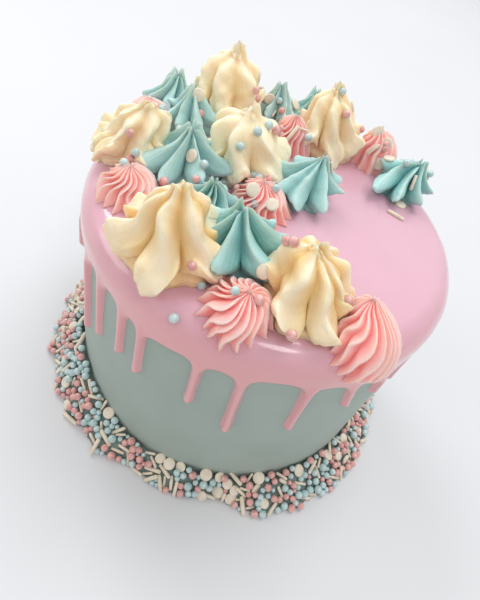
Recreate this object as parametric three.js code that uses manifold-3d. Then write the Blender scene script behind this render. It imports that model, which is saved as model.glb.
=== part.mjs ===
// Birthday cake: a tall round cake in pale blue buttercream, with a pink glaze that runs
// down from its rim, a crescent of piped dollops on top and a band of sprinkles round its
// foot. Millimetres, +Z up. The origin is on the floor under the middle of the cake, and
// the front, where the tall cream dollops stand near the rim, faces -Y.
import * as THREE from 'three';
import { mergeVertices } from 'three/addons/utils/BufferGeometryUtils.js';
import Module from 'manifold-3d';

const wasm = await Module();
wasm.setup();

// Driving dimensions
const GAP = 0.3; // clearance between pieces that touch
const FACETS = 40; // sides of every round body
const CAKE_RADIUS = 81.6;
const CAKE_HEIGHT = 110.9;
const RIM_CENTRE_RADIUS = 72.4; // the rounded rims of cake and glaze share this centre
const RIM_CENTRE_HEIGHT = 101.7;
const RIM_STEPS = 3;
const GLAZE_THICKNESS = 1;
const GLAZE_INSIDE = CAKE_RADIUS - RIM_CENTRE_RADIUS + GAP; // rim radius of its inner face
const GLAZE_OUTSIDE = GLAZE_INSIDE + GLAZE_THICKNESS; // rim radius of its outer face
const GLAZE_TOP = RIM_CENTRE_HEIGHT + GLAZE_OUTSIDE;
const GLAZE_EDGE = 94.6; // height of the glaze's lower edge between its drips

const COLOURS = {
  icing: 0xa9bab4, glaze: 0xf0b9ca, cream: 0xf6e3b4, teal: 0x94c4bd, pink: 0xf3a6a0, sprinkles: 0xe3d3c6,
};
const ROUGHNESS = { icing: 0.6, glaze: 0.3, piping: 0.55, sprinkles: 0.5 };

// Small helpers
const { clamp, lerp, smoothstep } = THREE.MathUtils;
const radians = (degrees) => THREE.MathUtils.degToRad(degrees);
const wave = (turn, count, phase) => Math.cos(count * turn + phase);

// A repeatable number from 0 to 1 for item k of a series.
function chance(series, k) {
  const v = Math.sin(series * 12.9898 + k * 78.233) * 43758.5453;
  return v - Math.floor(v);
}

const spread = (series, k, low, high) => low + (high - low) * chance(series, k);

// Straight-line reading of a list of [position, value] pairs.
function read(table, position) {
  const next = table.findIndex(([p]) => p >= position);
  if (next <= 0) return table[next < 0 ? table.length - 1 : 0][1];
  const [p0, v0] = table[next - 1];
  const [p1, v1] = table[next];
  return v0 + ((v1 - v0) * (position - p0)) / (p1 - p0);
}

function toSolid(geometry) {
  const bare = geometry.clone();
  bare.deleteAttribute('normal');
  bare.deleteAttribute('uv');
  const merged = mergeVertices(bare, 1e-4);
  const mesh = new wasm.Mesh({
    numProp: 3,
    vertProperties: new Float32Array(merged.attributes.position.array),
    triVerts: new Uint32Array(merged.index.array),
  });
  return new wasm.Manifold(mesh);
}

function toMesh(name, solid, colour, roughness) {
  const { vertProperties, triVerts } = solid.getMesh();
  const geometry = new THREE.BufferGeometry();
  geometry.setAttribute('position', new THREE.BufferAttribute(vertProperties, 3));
  geometry.setIndex(new THREE.BufferAttribute(triVerts, 1));
  geometry.computeVertexNormals();
  const material = new THREE.MeshStandardMaterial({ color: colour, roughness, metalness: 0 });
  const mesh = new THREE.Mesh(geometry, material);
  mesh.name = name;
  return mesh;
}

// The biggest of the bodies that a cut has left.
function largestBody(solid) {
  return solid.decompose().reduce((best, body) => (body.volume() > best.volume() ? body : best));
}

// A round body from [radius, height] pairs, with its flat sides alike in every piece.
function turned(profile) {
  const points = profile.map(([radius, height]) => new THREE.Vector2(radius, height));
  return new THREE.LatheGeometry(points, FACETS).rotateX(Math.PI / 2);
}

// The quarter circle of a rounded rim, from its top to its side.
function rimArc(radius) {
  return Array.from({ length: RIM_STEPS + 1 }, (_, i) => {
    const angle = (Math.PI / 2) * (1 - i / RIM_STEPS);
    return [RIM_CENTRE_RADIUS + radius * Math.cos(angle), RIM_CENTRE_HEIGHT + radius * Math.sin(angle)];
  });
}

// The iced cake
function cakeSolid() {
  const foot = [CAKE_RADIUS, 0];
  const rim = rimArc(CAKE_RADIUS - RIM_CENTRE_RADIUS).reverse();
  return toSolid(turned([[0, 0], foot, ...rim, [0, CAKE_HEIGHT]]));
}

// The glaze: a shell over the top and rim, with a wavy lower edge and round-ended drips.
const GLAZE_RADIUS = RIM_CENTRE_RADIUS + GLAZE_OUTSIDE;
const GLAZE_BACK = RIM_CENTRE_RADIUS + GLAZE_INSIDE;
const DRIP_HALF_WIDTH = 2.4;
const DRIP_PROUD = 2.4; // how far a drip stands off the cake's side
const DRIP_ROOT = 6; // how far its top reaches up inside the shell
const DRIP_OUTLINE = [[-1, 0], [-0.62, 0.9], [0.62, 0.9], [1, 0]]; // shares across and outwards

// Drips that the front shows: azimuth at the top, height of the lower end, sideways drift.
const FRONT_DRIPS = [
  [-139.5, 48, 0], [-129.5, 61, 0], [-119, 67, 0], [-111.6, 65, 0], [-94.5, 67, 0],
  [-83, 55, 1.2], [-65.5, 62, 1], [-52.6, 75, 3], [-40.7, 77, 1],
];
const BACK_DRIPS = 12;
const DRIP_SEEDS = { place: 31, end: 32, drift: 33 };
const BACK_DRIP_ENDS = [50, 78];
const BACK_DRIP_SHIFT = 0.22; // of the step between drips
const BACK_DRIP_DRIFT = 0.8; // degrees
const EDGE_WAVES = [[0.9, 5, 1.2], [0.6, 9, 0.4]]; // height, waves in the round, phase
const DRIP_TIP = 2.5; // length of its rounded end

function dripList() {
  const first = FRONT_DRIPS[FRONT_DRIPS.length - 1][0];
  const last = FRONT_DRIPS[0][0] + 360;
  const step = (last - first) / (BACK_DRIPS + 1);
  const back = Array.from({ length: BACK_DRIPS }, (_, i) => [
    first + step * (i + 1 + spread(DRIP_SEEDS.place, i, -BACK_DRIP_SHIFT, BACK_DRIP_SHIFT)),
    spread(DRIP_SEEDS.end, i, ...BACK_DRIP_ENDS),
    spread(DRIP_SEEDS.drift, i, -BACK_DRIP_DRIFT, BACK_DRIP_DRIFT),
  ]);
  return [...FRONT_DRIPS, ...back];
}

function glazeEdge(turn) {
  const rises = EDGE_WAVES.map(([height, count, phase]) => height * wave(turn, count, phase));
  return rises.reduce((sum, rise) => sum + rise, GLAZE_EDGE);
}

function glazeShell() {
  const outer = rimArc(GLAZE_OUTSIDE);
  const inner = rimArc(GLAZE_INSIDE).reverse();
  const edge = [[GLAZE_RADIUS, GLAZE_EDGE], [GLAZE_BACK, GLAZE_EDGE]];
  const underside = [0, GLAZE_TOP - GLAZE_THICKNESS];
  const geometry = turned([[0, GLAZE_TOP], ...outer, ...edge, ...inner, underside].reverse());
  const position = geometry.attributes.position;
  for (let i = 0; i < position.count; i += 1) {
    if (position.getZ(i) < (RIM_CENTRE_HEIGHT + GLAZE_EDGE) / 2) {
      position.setZ(i, glazeEdge(Math.atan2(position.getY(i), position.getX(i))));
    }
  }
  return toSolid(geometry);
}

// One drip: four-sided rings down the side, from a wide root that sits in the shell to a
// blunt tip.
function dripSolid([azimuth, endHeight, drift]) {
  const top = glazeEdge(radians(azimuth));
  const length = top - endHeight;
  const rings = [ // distance below the edge, shares of the full width and of the full depth
    [-DRIP_ROOT, 1.4, 0.3], [0, 1.35, 0.66], [3.5, 1, 0.85], [length - DRIP_TIP, 0.95, 0.95],
  ];
  const points = [];
  const place = (below, across, off) => {
    const turn = radians(azimuth + (drift * Math.max(below, 0)) / length) + across / GLAZE_RADIUS;
    const radius = GLAZE_BACK + off;
    points.push(radius * Math.cos(turn), radius * Math.sin(turn), top - below);
  };
  rings.forEach(([below, width, depth]) => DRIP_OUTLINE.forEach(([across, out]) => {
    place(below, across * width * DRIP_HALF_WIDTH, out * depth * DRIP_PROUD);
  }));
  place(length, 0, GLAZE_THICKNESS / 2);
  const sides = DRIP_OUTLINE.length;
  const tip = rings.length * sides;
  const index = [];
  for (let ring = 0; ring < rings.length; ring += 1) {
    for (let k = 0; k < sides; k += 1) {
      const a = ring * sides + k;
      const b = ring * sides + ((k + 1) % sides);
      if (ring + 1 < rings.length) index.push(a, a + sides, b, b, a + sides, b + sides);
      else index.push(a, tip, b);
    }
  }
  for (let k = 1; k + 1 < sides; k += 1) index.push(0, k, k + 1);
  return toSolid(indexed(points, index));
}

function indexed(points, index) {
  const geometry = new THREE.BufferGeometry();
  geometry.setAttribute('position', new THREE.Float32BufferAttribute(points, 3));
  geometry.setIndex(index);
  return geometry;
}

// Space that the dollops must keep clear of: the cake's upper half and its glaze, grown by
// the gap.
function glazeEnvelope() {
  const below = CAKE_HEIGHT / 2;
  const rim = rimArc(GLAZE_OUTSIDE + GAP).reverse();
  return toSolid(turned([[0, below], [GLAZE_RADIUS + GAP, below], ...rim, [0, GLAZE_TOP + GAP]]));
}

// Piped dollops. A dollop is drawn between two outlines, one along the crests of its folds and
// one along the valleys between them. Each row of a kind's shape is [crest radius, crest
// height, valley radius, valley height, lip share], from the foot up, as shares of the
// dollop's size. Where the lip share is high, folds are broad and round. upright says how far
// the upper part stays upright where the foot bends over the rim. The skin is read at the
// phases of each fold, which run from 0 on its crest through the valley to the next crest.
const VALLEY = 0.5;
const BLUNT_FOLD = [0.11, VALLEY, 0.89];
const SHARP_FOLD = [0, VALLEY];
const KINDS = {
  cream: {
    colour: COLOURS.cream, folds: 7, phases: BLUNT_FOLD, blunt: 0.2, sharpness: 1.6, petal: 0.85,
    lip: 0.4, gap: 52, uneven: 0.14, twist: 14, spacing: 0.25, upright: 1,
    rows: [
      [0.87, 0, 0.74, 0, 0], [0.8, 0.17, 0.58, 0.19, 0.35], [1.01, 0.31, 0.48, 0.34, 1],
      [0.71, 0.49, 0.44, 0.52, 0.35], [0.6, 0.75, 0.39, 0.74, 0], [0.3, 0.91, 0.22, 0.91, 0],
    ],
  },
  teal: {
    colour: COLOURS.teal, folds: 8, phases: SHARP_FOLD, blunt: 0.15, sharpness: 1.5, petal: 0.45,
    lip: 0.42, gap: 45, uneven: 0.15, twist: 17, spacing: 0.25, upright: 0.8,
    rows: [
      [0.8, 0, 0.56, 0, 0], [0.72, 0.23, 0.44, 0.24, 0.5], [1.01, 0.4, 0.36, 0.42, 1],
      [0.68, 0.6, 0.28, 0.59, 0.3], [0.34, 0.86, 0.15, 0.84, 0],
    ],
  },
  pink: {
    colour: COLOURS.pink, folds: 17, phases: SHARP_FOLD, blunt: 0.12, sharpness: 1.15, petal: 0,
    lip: 0, gap: 21, uneven: 0.1, twist: 29, spacing: 0.2, upright: 0,
    rows: [[1.04, 0, 0.73, 0, 0.9], [0.92, 0.25, 0.64, 0.25, 0.6], [0.64, 0.72, 0.4, 0.71, 0.1]],
  },
};
const LIP_FROM = 0.45; // a fold stands at its lip's azimuth up to this height share
const CROWN_FROM = 0.85; // and at its crown's azimuth from this one
const DOME_FROM = 0.35; // a domed dollop swells from this height share up
const FULL_GAP = 0.6; // share of the usual gap between crests from which a valley is full
const SHALLOW_DEPTH = 0.6; // valleys less deep than this have no crease
const PETAL_ROUNDNESS = 0.55;
const BODY_REACH = 0.35; // how much of a fold's reach shows away from its lip
const LIP_SPREAD = 0.06; // how far up or down the lips of folds without a row of their own are
const REACH_RANGE = [-0.6, 1]; // of the kind's unevenness
const DEPTH_RANGE = [0.45, 1.2];
const SERIES = { turn: 7, place: 60, reach: 61, lip: 62 };
const LEAN_POWER = 1.4; // over 1 a dollop leans more near its tip
const UPRIGHT_FROM = 0.3; // height share from which an upright dollop no longer bends

// name, x, y, radius, height, how far the tip leans along x and y, spike drawn out of the
// tip, and how much the body swells above the lip. The ones that come first keep their whole
// form, and later ones are cut round them.
const DOLLOP_TABLE = [
  ['teal_front', -5, -45, 16.5, 21.5, -6, 2, 0, 0.3],
  ['teal_left_mid', -43, -6, 19, 20, 0, 1, 0, 0.12],
  ['cream_front_left', -30.5, -56, 18.5, 32, 1, -2, 0, 0],
  ['cream_front_right', 21.5, -55, 19, 26, -6, 1, 0, 0.12],
  ['cream_mid', -22, 12, 19.5, 28, -3, -1, 0, 0.25],
  ['cream_back', -42, 49, 18.5, 33, -1, 1, 5.6, 0.3],
  ['cream_left', -67, -5, 17.5, 25, 6, -2, 0, 0.1],
  ['cream_right_back', 11, 57, 16.5, 30, -5, 1, 4.2, 0.15],
  ['teal_right_mid', 7, 9, 15, 17, 3, 6, 0, 0.35],
  ['teal_right', 51, 45, 15.5, 17, 5, 0, 0, 0.15],
  ['teal_back_inner', -52, 29, 13.5, 19, -2, 0, 0, 0.15],
  ['teal_back_left', -68, 40, 12.5, 18, 3, 0, 0, 0],
  ['teal_back', -18, 63, 12.5, 20, -2, 0, 0, 0],
  ['teal_far', -2, 75, 12, 18, -1, 0, 0, 0],
  ['teal_low', -26, -25, 13, 14, 0, 0, 0, 0],
  ['pink_front', -1, -69, 14, 11, 2, 0, 0, 0],
  ['pink_front_right', 45, -63.5, 13.5, 14, -4, 9, 0, 0],
  ['pink_left', -56, -32, 13, 12.5, -1, 1, 0, 0],
  ['pink_mid', -8, -10, 13.5, 12, -1, 1, 0, 0],
  ['pink_mid_back', -6.5, 46, 12, 16, -1, 1, 0, 0],
  ['pink_right', 37, 61, 12, 18, -3, 0, 2.6, 0],
  ['pink_left_back', -71, 23, 11, 11, 0, 0, 0, 0],
];

// The folds that show: azimuth at the crown and at the lip, reach, height of the lip, and
// depth of the valley after it
const FOLDS = {
  cream_front_left: [
    [42, 46, 1.1, 0.44, 0.9], [108, 112, 1.0, 0.42, 0.9], [158, 165, 1.05, 0.47, 0.6],
    [203, 207, 1.15, 0.41, 1.05], [252, 270, 1.15, 0.3, 1.0], [324, 338, 1.12, 0.32, 0.9],
  ],
  cream_front_right: [
    [60, 52, 0.98, 0.42, 0.8], [112, 104, 1.08, 0.46, 0.8], [165, 172, 1.04, 0.45, 1.0],
    [270, 243, 1.1, 0.34, 0.95], [303, 305, 1.1, 0.25, 0.7], [336, 345, 0.82, 0.5, 0.9],
    [375, 372, 0.9, 0.36, 0.9],
  ],
  cream_mid: [
    [45, 42, 1.12, 0.44, 0.8], [105, 105, 1.0, 0.45, 0.8], [160, 158, 1.02, 0.45, 0.9],
    [212, 207, 1.05, 0.42, 0.85], [262, 262, 0.95, 0.34, 0.95], [325, 335, 1.05, 0.32, 0.9],
  ],
  cream_back: [
    [42, 42, 1.06, 0.44, 0.8], [100, 98, 1.0, 0.45, 0.8], [150, 155, 1.0, 0.45, 0.9],
    [205, 212, 1.05, 0.4, 0.85], [258, 268, 1.0, 0.33, 1.0], [318, 326, 1.0, 0.35, 0.9],
  ],
  cream_left: [
    [44, 50, 0.9, 0.5, 0.8], [110, 105, 1.0, 0.45, 0.9], [172, 170, 0.95, 0.52, 0.8],
    [215, 222, 1.05, 0.42, 0.7], [250, 250, 1.15, 0.36, 0.9], [318, 288, 1.12, 0.38, 1.0],
    [385, 360, 0.92, 0.4, 0.8],
  ],
  cream_right_back: [
    [30, 30, 1.05, 0.44, 0.8], [80, 80, 1.05, 0.46, 0.8], [128, 128, 1.0, 0.45, 0.8],
    [178, 176, 0.98, 0.46, 0.9], [226, 222, 1.18, 0.42, 0.9], [280, 282, 1.08, 0.22, 0.85],
    [332, 336, 1.1, 0.4, 0.9],
  ],
  teal_front: [
    [10, 24, 0.98, 0.47, 0.9], [55, 56, 0.95, 0.5, 0.9], [100, 100, 0.95, 0.5, 0.8],
    [151, 151, 0.95, 0.5, 1.0], [212, 211, 1.03, 0.46, 1.0], [250, 236, 1.1, 0.37, 0.85],
    [300, 318, 1.08, 0.34, 1.15],
  ],
  teal_left_mid: [
    [-10, 16, 1.08, 0.4, 0.9], [50, 64, 0.95, 0.5, 0.8], [110, 110, 0.95, 0.5, 0.8],
    [165, 158, 0.9, 0.52, 1.0], [235, 227, 1.18, 0.4, 0.7], [262, 254, 1.0, 0.3, 1.1],
    [310, 304, 0.9, 0.42, 1.2],
  ],
  teal_right_mid: [
    [30, 30, 1.0, 0.5, 0.9], [80, 80, 1.05, 0.5, 0.8], [125, 120, 1.0, 0.5, 0.9],
    [180, 170, 1.1, 0.5, 1.0], [230, 228, 1.12, 0.4, 0.25], [262, 260, 1.15, 0.3, 1.1],
    [312, 312, 1.12, 0.3, 1.0], [355, 352, 0.95, 0.45, 1.0],
  ],
  teal_right: [
    [50, 50, 1.12, 0.42, 0.8], [100, 100, 0.9, 0.5, 0.8], [150, 140, 0.88, 0.52, 1.0],
    [200, 226, 1.42, 0.36, 1.0], [250, 262, 1.2, 0.28, 1.0], [300, 304, 1.08, 0.28, 0.9],
    [340, 346, 0.88, 0.4, 0.9],
  ],
  pink_right: [
    [29, 2, 1.02, 0, 0.7], [60, 33, 1.05, 0, 0.65], [90, 62, 0.98, 0, 0.7],
    [118, 90, 1.0, 0, 0.7], [148, 121, 1.04, 0, 0.7], [180, 152, 0.97, 0, 0.65],
    [207, 180, 1.03, 0, 0.6], [234, 208, 1.06, 0, 0.65], [262, 237, 1.02, 0, 0.6],
    [291, 266, 1.05, 0, 0.65], [322, 297, 1.0, 0, 0.65], [354, 329, 1.03, 0, 0.7],
  ],
  teal_back_inner: [
    [15, 14, 0.9, 0.42, 0.9], [60, 62, 1.0, 0.5, 0.8], [115, 112, 1.0, 0.5, 0.8],
    [170, 170, 1.0, 0.5, 0.9], [215, 224, 1.1, 0.48, 0.6], [245, 246, 0.95, 0.34, 1.0],
    [300, 298, 0.85, 0.38, 1.1],
  ],
};

// A dollop's folds: the ones that show, or else evenly spread ones moved a little.
function foldTable(name, kind, seed) {
  if (FOLDS[name]) return FOLDS[name];
  const step = 360 / kind.folds;
  const start = chance(seed, SERIES.turn);
  const lips = Array.from({ length: kind.folds }, (_, k) => (
    (k + kind.spacing * spread(seed + SERIES.place, k, -1, 1) + start) * step
  ));
  return lips.map((lip, k) => {
    const reach = 1 + kind.uneven * spread(seed + SERIES.reach, k, ...REACH_RANGE);
    const height = kind.lip + LIP_SPREAD * spread(seed + SERIES.lip, k, -1, 1);
    const next = k + 1 < lips.length ? lips[k + 1] : lips[0] + 360;
    return [lip + kind.twist, lip, reach, height, clamp((next - lip) / kind.gap, ...DEPTH_RANGE)];
  });
}

const DOLLOPS = DOLLOP_TABLE.map(([name, x, y, radius, height, leanX, leanY, spike, dome], i) => {
  const kind = KINDS[name.split('_')[0]];
  const folds = foldTable(name, kind, i + 1);
  return { name, x, y, radius, height, leanX, leanY, spike, dome, seed: i + 1, kind, folds };
});

// How much of a fold is met: 1 on its crest, 0 in the valley. phase counts folds.
function crest(kind, phase, petal, shallow) {
  const off = Math.abs(phase - Math.round(phase));
  const smooth = Math.hypot(2 * off, kind.blunt) - kind.blunt;
  const end = Math.hypot(1, kind.blunt) - kind.blunt;
  const ridge = Math.max(1 - smooth / end, 0) ** kind.sharpness;
  const round = Math.max(Math.cos(Math.PI * off), 0) ** PETAL_ROUNDNESS;
  const level = 0.5 + 0.5 * Math.cos(2 * Math.PI * off);
  return lerp(lerp(ridge, round, petal), level, shallow);
}

// A column of a dollop's folds at a phase. Past the last fold it goes on to the first one,
// which is a turn further.
function foldValue(folds, column, phase, turn) {
  const k = Math.floor(phase);
  const next = k + 1 < folds.length ? folds[k + 1][column] : folds[0][column] + turn;
  return lerp(folds[k][column], next, phase - k);
}

// Azimuth of a fold, or of a place between folds, at a height.
function foldTurn(folds, phase, heightShare) {
  const swing = smoothstep(CROWN_FROM - heightShare, 0, CROWN_FROM - LIP_FROM);
  return lerp(foldValue(folds, 0, phase, 360), foldValue(folds, 1, phase, 360), swing);
}

// Bends a place above a flat top round the rounded rim and down the cake's side.
function overRim(x, y, above) {
  const radius = Math.hypot(x, y);
  const past = radius - RIM_CENTRE_RADIUS;
  if (past <= 0) return [x, y, GLAZE_TOP + above];
  const angle = Math.min(past / GLAZE_OUTSIDE, Math.PI / 2);
  const down = past - angle * GLAZE_OUTSIDE;
  const reach = GLAZE_OUTSIDE + above;
  const bent = RIM_CENTRE_RADIUS + reach * Math.sin(angle);
  return [(x / radius) * bent, (y / radius) * bent, RIM_CENTRE_HEIGHT + reach * Math.cos(angle) - down];
}

// Degrees from the crest of a fold to the next one at a height.
function gapAfter(folds, k, heightShare) {
  const first = foldTurn(folds, 0, heightShare);
  const next = k + 1 < folds.length ? foldTurn(folds, k + 1, heightShare) : first + 360;
  return next - foldTurn(folds, k, heightShare);
}

// How much a dollop swells at a height, as a share of its radius.
function swelling(dome, heightShare) {
  return dome * Math.sin(Math.PI * clamp((heightShare - DOME_FROM) / (1 - DOME_FROM), 0, 1));
}

// A point of a dollop's skin for a row of its shape and a phase round it. grow makes the whole
// dollop that much thicker.
function skinPoint(dollop, row, phase, grow = 0) {
  const { kind, folds } = dollop;
  const [crestRadius, crestHeight, valleyRadius, valleyHeight, lip] = row;
  const k = Math.floor(phase);
  const depth = folds[k][4] * Math.min(gapAfter(folds, k, crestHeight) / (FULL_GAP * kind.gap), 1);
  const top = crest(kind, phase, kind.petal * lip, clamp(1 - depth / SHALLOW_DEPTH, 0, 1));
  const dip = (1 - top) * depth;
  const level = k + smoothstep(phase - k, 0, 1);
  const reach = 1 + (foldValue(folds, 2, level, 0) - 1) * lerp(BODY_REACH, 1, lip);
  const size = dollop.radius * (1 + swelling(dollop.dome, crestHeight));
  const radius = size * reach * lerp(crestRadius, valleyRadius, dip) + grow;
  const rise = lerp(crestHeight, valleyHeight, dip) + lip * (foldValue(folds, 3, level, 0) - kind.lip);
  const height = dollop.height * Math.max(rise, 0) + grow;
  const turn = radians(foldTurn(folds, phase, crestHeight));
  const lean = crestHeight ** LEAN_POWER;
  const x = dollop.x + dollop.leanX * lean + radius * Math.cos(turn);
  const y = dollop.y + dollop.leanY * lean + radius * Math.sin(turn);
  const bent = overRim(x, y, height);
  const straight = [x, y, GLAZE_TOP + height];
  const stand = kind.upright * Math.min(crestHeight / UPRIGHT_FROM, 1);
  return bent.map((value, axis) => lerp(value, straight[axis], stand));
}

// The closed skin of a dollop, with a root that reaches down into the glaze. Without the
// valleys among its phases it runs straight from crest to crest.
const ROOT = 2.5;
const TIP_ROW = [0, 1, 0, 1, 0];

function dollopSolid(dollop, rows, phases, grow = 0) {
  const places = dollop.folds.flatMap((_, k) => phases.map((phase) => k + phase));
  const points = [];
  [rows[0], ...rows].forEach((row, level) => {
    places.forEach((phase) => {
      const place = skinPoint(dollop, row, phase, grow);
      points.push(...(level === 0 ? sunk(place, ROOT + grow) : place));
    });
  });
  points.push(...sunk(overRim(dollop.x, dollop.y, 0), ROOT));
  const [tipX, tipY, tipZ] = skinPoint(dollop, TIP_ROW, 0);
  points.push(tipX, tipY, tipZ + dollop.spike + grow);
  return toSolid(indexed(points, skinIndex(rows.length + 1, places.length)));
}

// A place moved straight into the glaze, towards the middle of its rounded rim.
function sunk([x, y, z], depth) {
  const radius = Math.hypot(x, y) || 1;
  const past = Math.max(radius - RIM_CENTRE_RADIUS, 0);
  const up = Math.max(z - RIM_CENTRE_HEIGHT, 0);
  const share = depth / (Math.hypot(past, up) || 1);
  return [x - (x / radius) * past * share, y - (y / radius) * past * share, z - up * share];
}

function skinIndex(levels, around) {
  const index = [];
  const foot = levels * around;
  const tip = foot + 1;
  const last = (levels - 1) * around;
  for (let k = 0; k < around; k += 1) {
    const next = (k + 1) % around;
    for (let level = 0; level + 1 < levels; level += 1) {
      const a = level * around + k;
      const b = level * around + next;
      index.push(a, b, a + around, b, b + around, a + around);
    }
    index.push(foot, next, k);
    index.push(last + k, last + next, tip);
  }
  return index;
}

// The space that a dollop takes up, without its valleys or its waist.
const OUTLINE_ROWS = [
  [1, 0, 1, 0, 0.6], [1.03, 0.36, 1.03, 0.36, 1], [0.9, 0.6, 0.9, 0.6, 0.6], [0.62, 0.84, 0.62, 0.84, 0.1],
];

// Each dollop, without its sprinkles, cut to fit the glaze and the dollops before it.
function bareDollops(envelope) {
  const outlines = DOLLOPS.map((dollop) => {
    const crests = dollop.kind.phases.filter((phase) => phase !== VALLEY);
    return dollopSolid(dollop, OUTLINE_ROWS, crests, 2 * GAP);
  });
  return DOLLOPS.map((dollop, i) => {
    const earlier = outlines.slice(0, i);
    const whole = dollopSolid(dollop, dollop.kind.rows, dollop.kind.phases).subtract(envelope);
    return largestBody(earlier.reduce((solid, outline) => solid.subtract(outline), whole));
  });
}

// Sprinkles: pearls, confetti discs and short rods, with their thin side along z.
const PEARL_RADIUS = 2;
const PEARL = new THREE.IcosahedronGeometry(PEARL_RADIUS, 0);
const DISC_RADIUS = 3.1;
const DISC_THICKNESS = 1.6;
const DISC_SIDES = 7;
const DISC = new THREE.CylinderGeometry(DISC_RADIUS, DISC_RADIUS, DISC_THICKNESS, DISC_SIDES);
DISC.rotateX(Math.PI / 2);
const ROD_RADIUS = 0.95;
const ROD_LENGTH = 8.5;
const ROD_SIDES = 5;
const ROD = new THREE.CylinderGeometry(ROD_RADIUS, ROD_RADIUS, ROD_LENGTH, ROD_SIDES);
const SUNK_SHARE = 0.25; // how much of a sprinkle's thickness is pressed into what carries it

// A sprinkle lies on a place with its thin side along the surface's normal, spun about it.
function sprinkleSolid(shape, place, normal, spin) {
  const geometry = shape.clone();
  geometry.computeBoundingBox();
  const lift = geometry.boundingBox.max.z * (1 - 2 * SUNK_SHARE);
  const up = new THREE.Vector3(0, 0, 1);
  const facing = new THREE.Quaternion().setFromUnitVectors(up, normal);
  facing.multiply(new THREE.Quaternion().setFromAxisAngle(up, spin));
  const centre = place.clone().addScaledVector(normal, lift);
  geometry.applyMatrix4(new THREE.Matrix4().compose(centre, facing, new THREE.Vector3(1, 1, 1)));
  return toSolid(geometry);
}

// Loose sprinkles that stick to the dollops: shape, degrees round the dollop from +X, and
// how far up it they sit, from 0 to 1.
const TOPPINGS = {
  cream_front_left: [[PEARL, -47, 0.4]],
  cream_front_right: [[PEARL, 160, 0.78], [PEARL, -17, 0.5], [PEARL, -98, 0.12], [DISC, -168, 0.4]],
  cream_mid: [[PEARL, -56, 0.8], [PEARL, -97, 0.7], [DISC, -78, 0.25]],
  cream_back: [[PEARL, 28, 0.55], [PEARL, 12, 0.42], [DISC, 30, 0.75]],
  cream_left: [[PEARL, -82, 0.65], [PEARL, -68, 0.25]],
  cream_right_back: [[PEARL, 28, 0.68], [PEARL, 60, 0.92], [ROD, 35, 0.8]],
  teal_left_mid: [[PEARL, -32, 0.55], [DISC, -62, 0.75]],
  teal_right_mid: [[ROD, 95, 0.4]],
  teal_right: [[PEARL, -6, 0.8], [PEARL, 150, 0.9], [ROD, -60, 0.62]],
  teal_back_inner: [[PEARL, -46, 0.65]],
  teal_back: [[PEARL, -71, 0.5], [DISC, -160, 0.72]],
  teal_far: [[DISC, 60, 0.3]],
  pink_front: [[PEARL, 175, 0.85], [PEARL, 6, 0.8], [PEARL, 160, 0.15]],
  pink_mid: [[PEARL, 95, 0.8], [PEARL, 30, 0.85], [DISC, -136, 0.8], [DISC, -40, 0.6]],
  pink_mid_back: [[PEARL, -152, 0.65], [ROD, -24, 0.8]],
  pink_right: [[PEARL, -60, 0.78], [DISC, -30, 0.7]],
};

// Loose sprinkles on the glaze: shape, azimuth in degrees, distance from the middle, spin.
const ON_GLAZE = [[PEARL, -104, 80, 0], [ROD, 24, 57, -50]];

// The row of a kind's shape at any height, read between the rows that it states.
function rowAt(kind, heightShare) {
  const rows = [...kind.rows, TIP_ROW];
  return TIP_ROW.map((_, column) => read(rows.map((row) => [row[1], row[column]]), heightShare));
}

// Where round a dollop's folds an azimuth lies at a height.
function phaseAt(folds, azimuth, heightShare) {
  const turns = folds.map((_, k) => foldTurn(folds, k, heightShare));
  const past = turns[0] + THREE.MathUtils.euclideanModulo(azimuth - turns[0], 360);
  const k = turns.findLastIndex((turn) => turn <= past);
  return k + (past - turns[k]) / gapAfter(folds, k, heightShare);
}

const HEART = 0.25; // sprinkles face away from a point this share of a dollop's height up
const OUTSIDE = 100; // farther than any dollop reaches from its heart

// A sprinkle where the line from a dollop's heart towards its place comes out of the skin, or
// nothing if that part has been cut away.
function toppingSolid(dollop, skin, [shape, around, up], spin) {
  const phase = phaseAt(dollop.folds, around, up);
  const place = new THREE.Vector3(...skinPoint(dollop, rowAt(dollop.kind, up), phase));
  const heart = new THREE.Vector3(...overRim(dollop.x, dollop.y, dollop.height * HEART));
  const outwards = place.sub(heart).normalize();
  const start = heart.clone().addScaledVector(outwards, OUTSIDE);
  const [hit] = new THREE.Raycaster(start, outwards.clone().negate(), 0, OUTSIDE).intersectObject(skin);
  return hit ? [sprinkleSolid(shape, hit.point, outwards, spin)] : [];
}

// The dollops with their own sprinkles stuck on. A sprinkle that would touch another dollop
// or a sprinkle on it is left off.
function toppedDollops() {
  const envelope = glazeEnvelope();
  const bare = bareDollops(envelope);
  const stuck = [];
  return DOLLOPS.map((dollop, i) => {
    const skin = toMesh(dollop.name, bare[i], dollop.kind.colour, ROUGHNESS.piping);
    const others = [...bare.filter((_, j) => j !== i), ...stuck];
    const toppings = (TOPPINGS[dollop.name] ?? [])
      .flatMap((topping, k) => toppingSolid(dollop, skin, topping, spread(dollop.seed, k, 0, Math.PI)))
      .map((topping) => topping.subtract(envelope))
      .filter((topping) => others.every((other) => topping.intersect(other).isEmpty()));
    stuck.push(...toppings);
    return toppings.reduce((solid, topping) => solid.add(topping), bare[i]);
  });
}

// The glaze with its drips and the few sprinkles that have rolled onto it.
function glazeSolid() {
  const dripping = dripList().reduce((solid, drip) => solid.add(dripSolid(drip)), glazeShell());
  return ON_GLAZE.reduce((solid, [shape, azimuth, out, spin]) => {
    const turn = radians(azimuth);
    const place = new THREE.Vector3(...overRim(out * Math.cos(turn), out * Math.sin(turn), 0));
    const above = new THREE.Vector3(...overRim(out * Math.cos(turn), out * Math.sin(turn), 1));
    return solid.add(sprinkleSolid(shape, place, above.sub(place).normalize(), radians(spin)));
  }, dripping);
}

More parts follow.
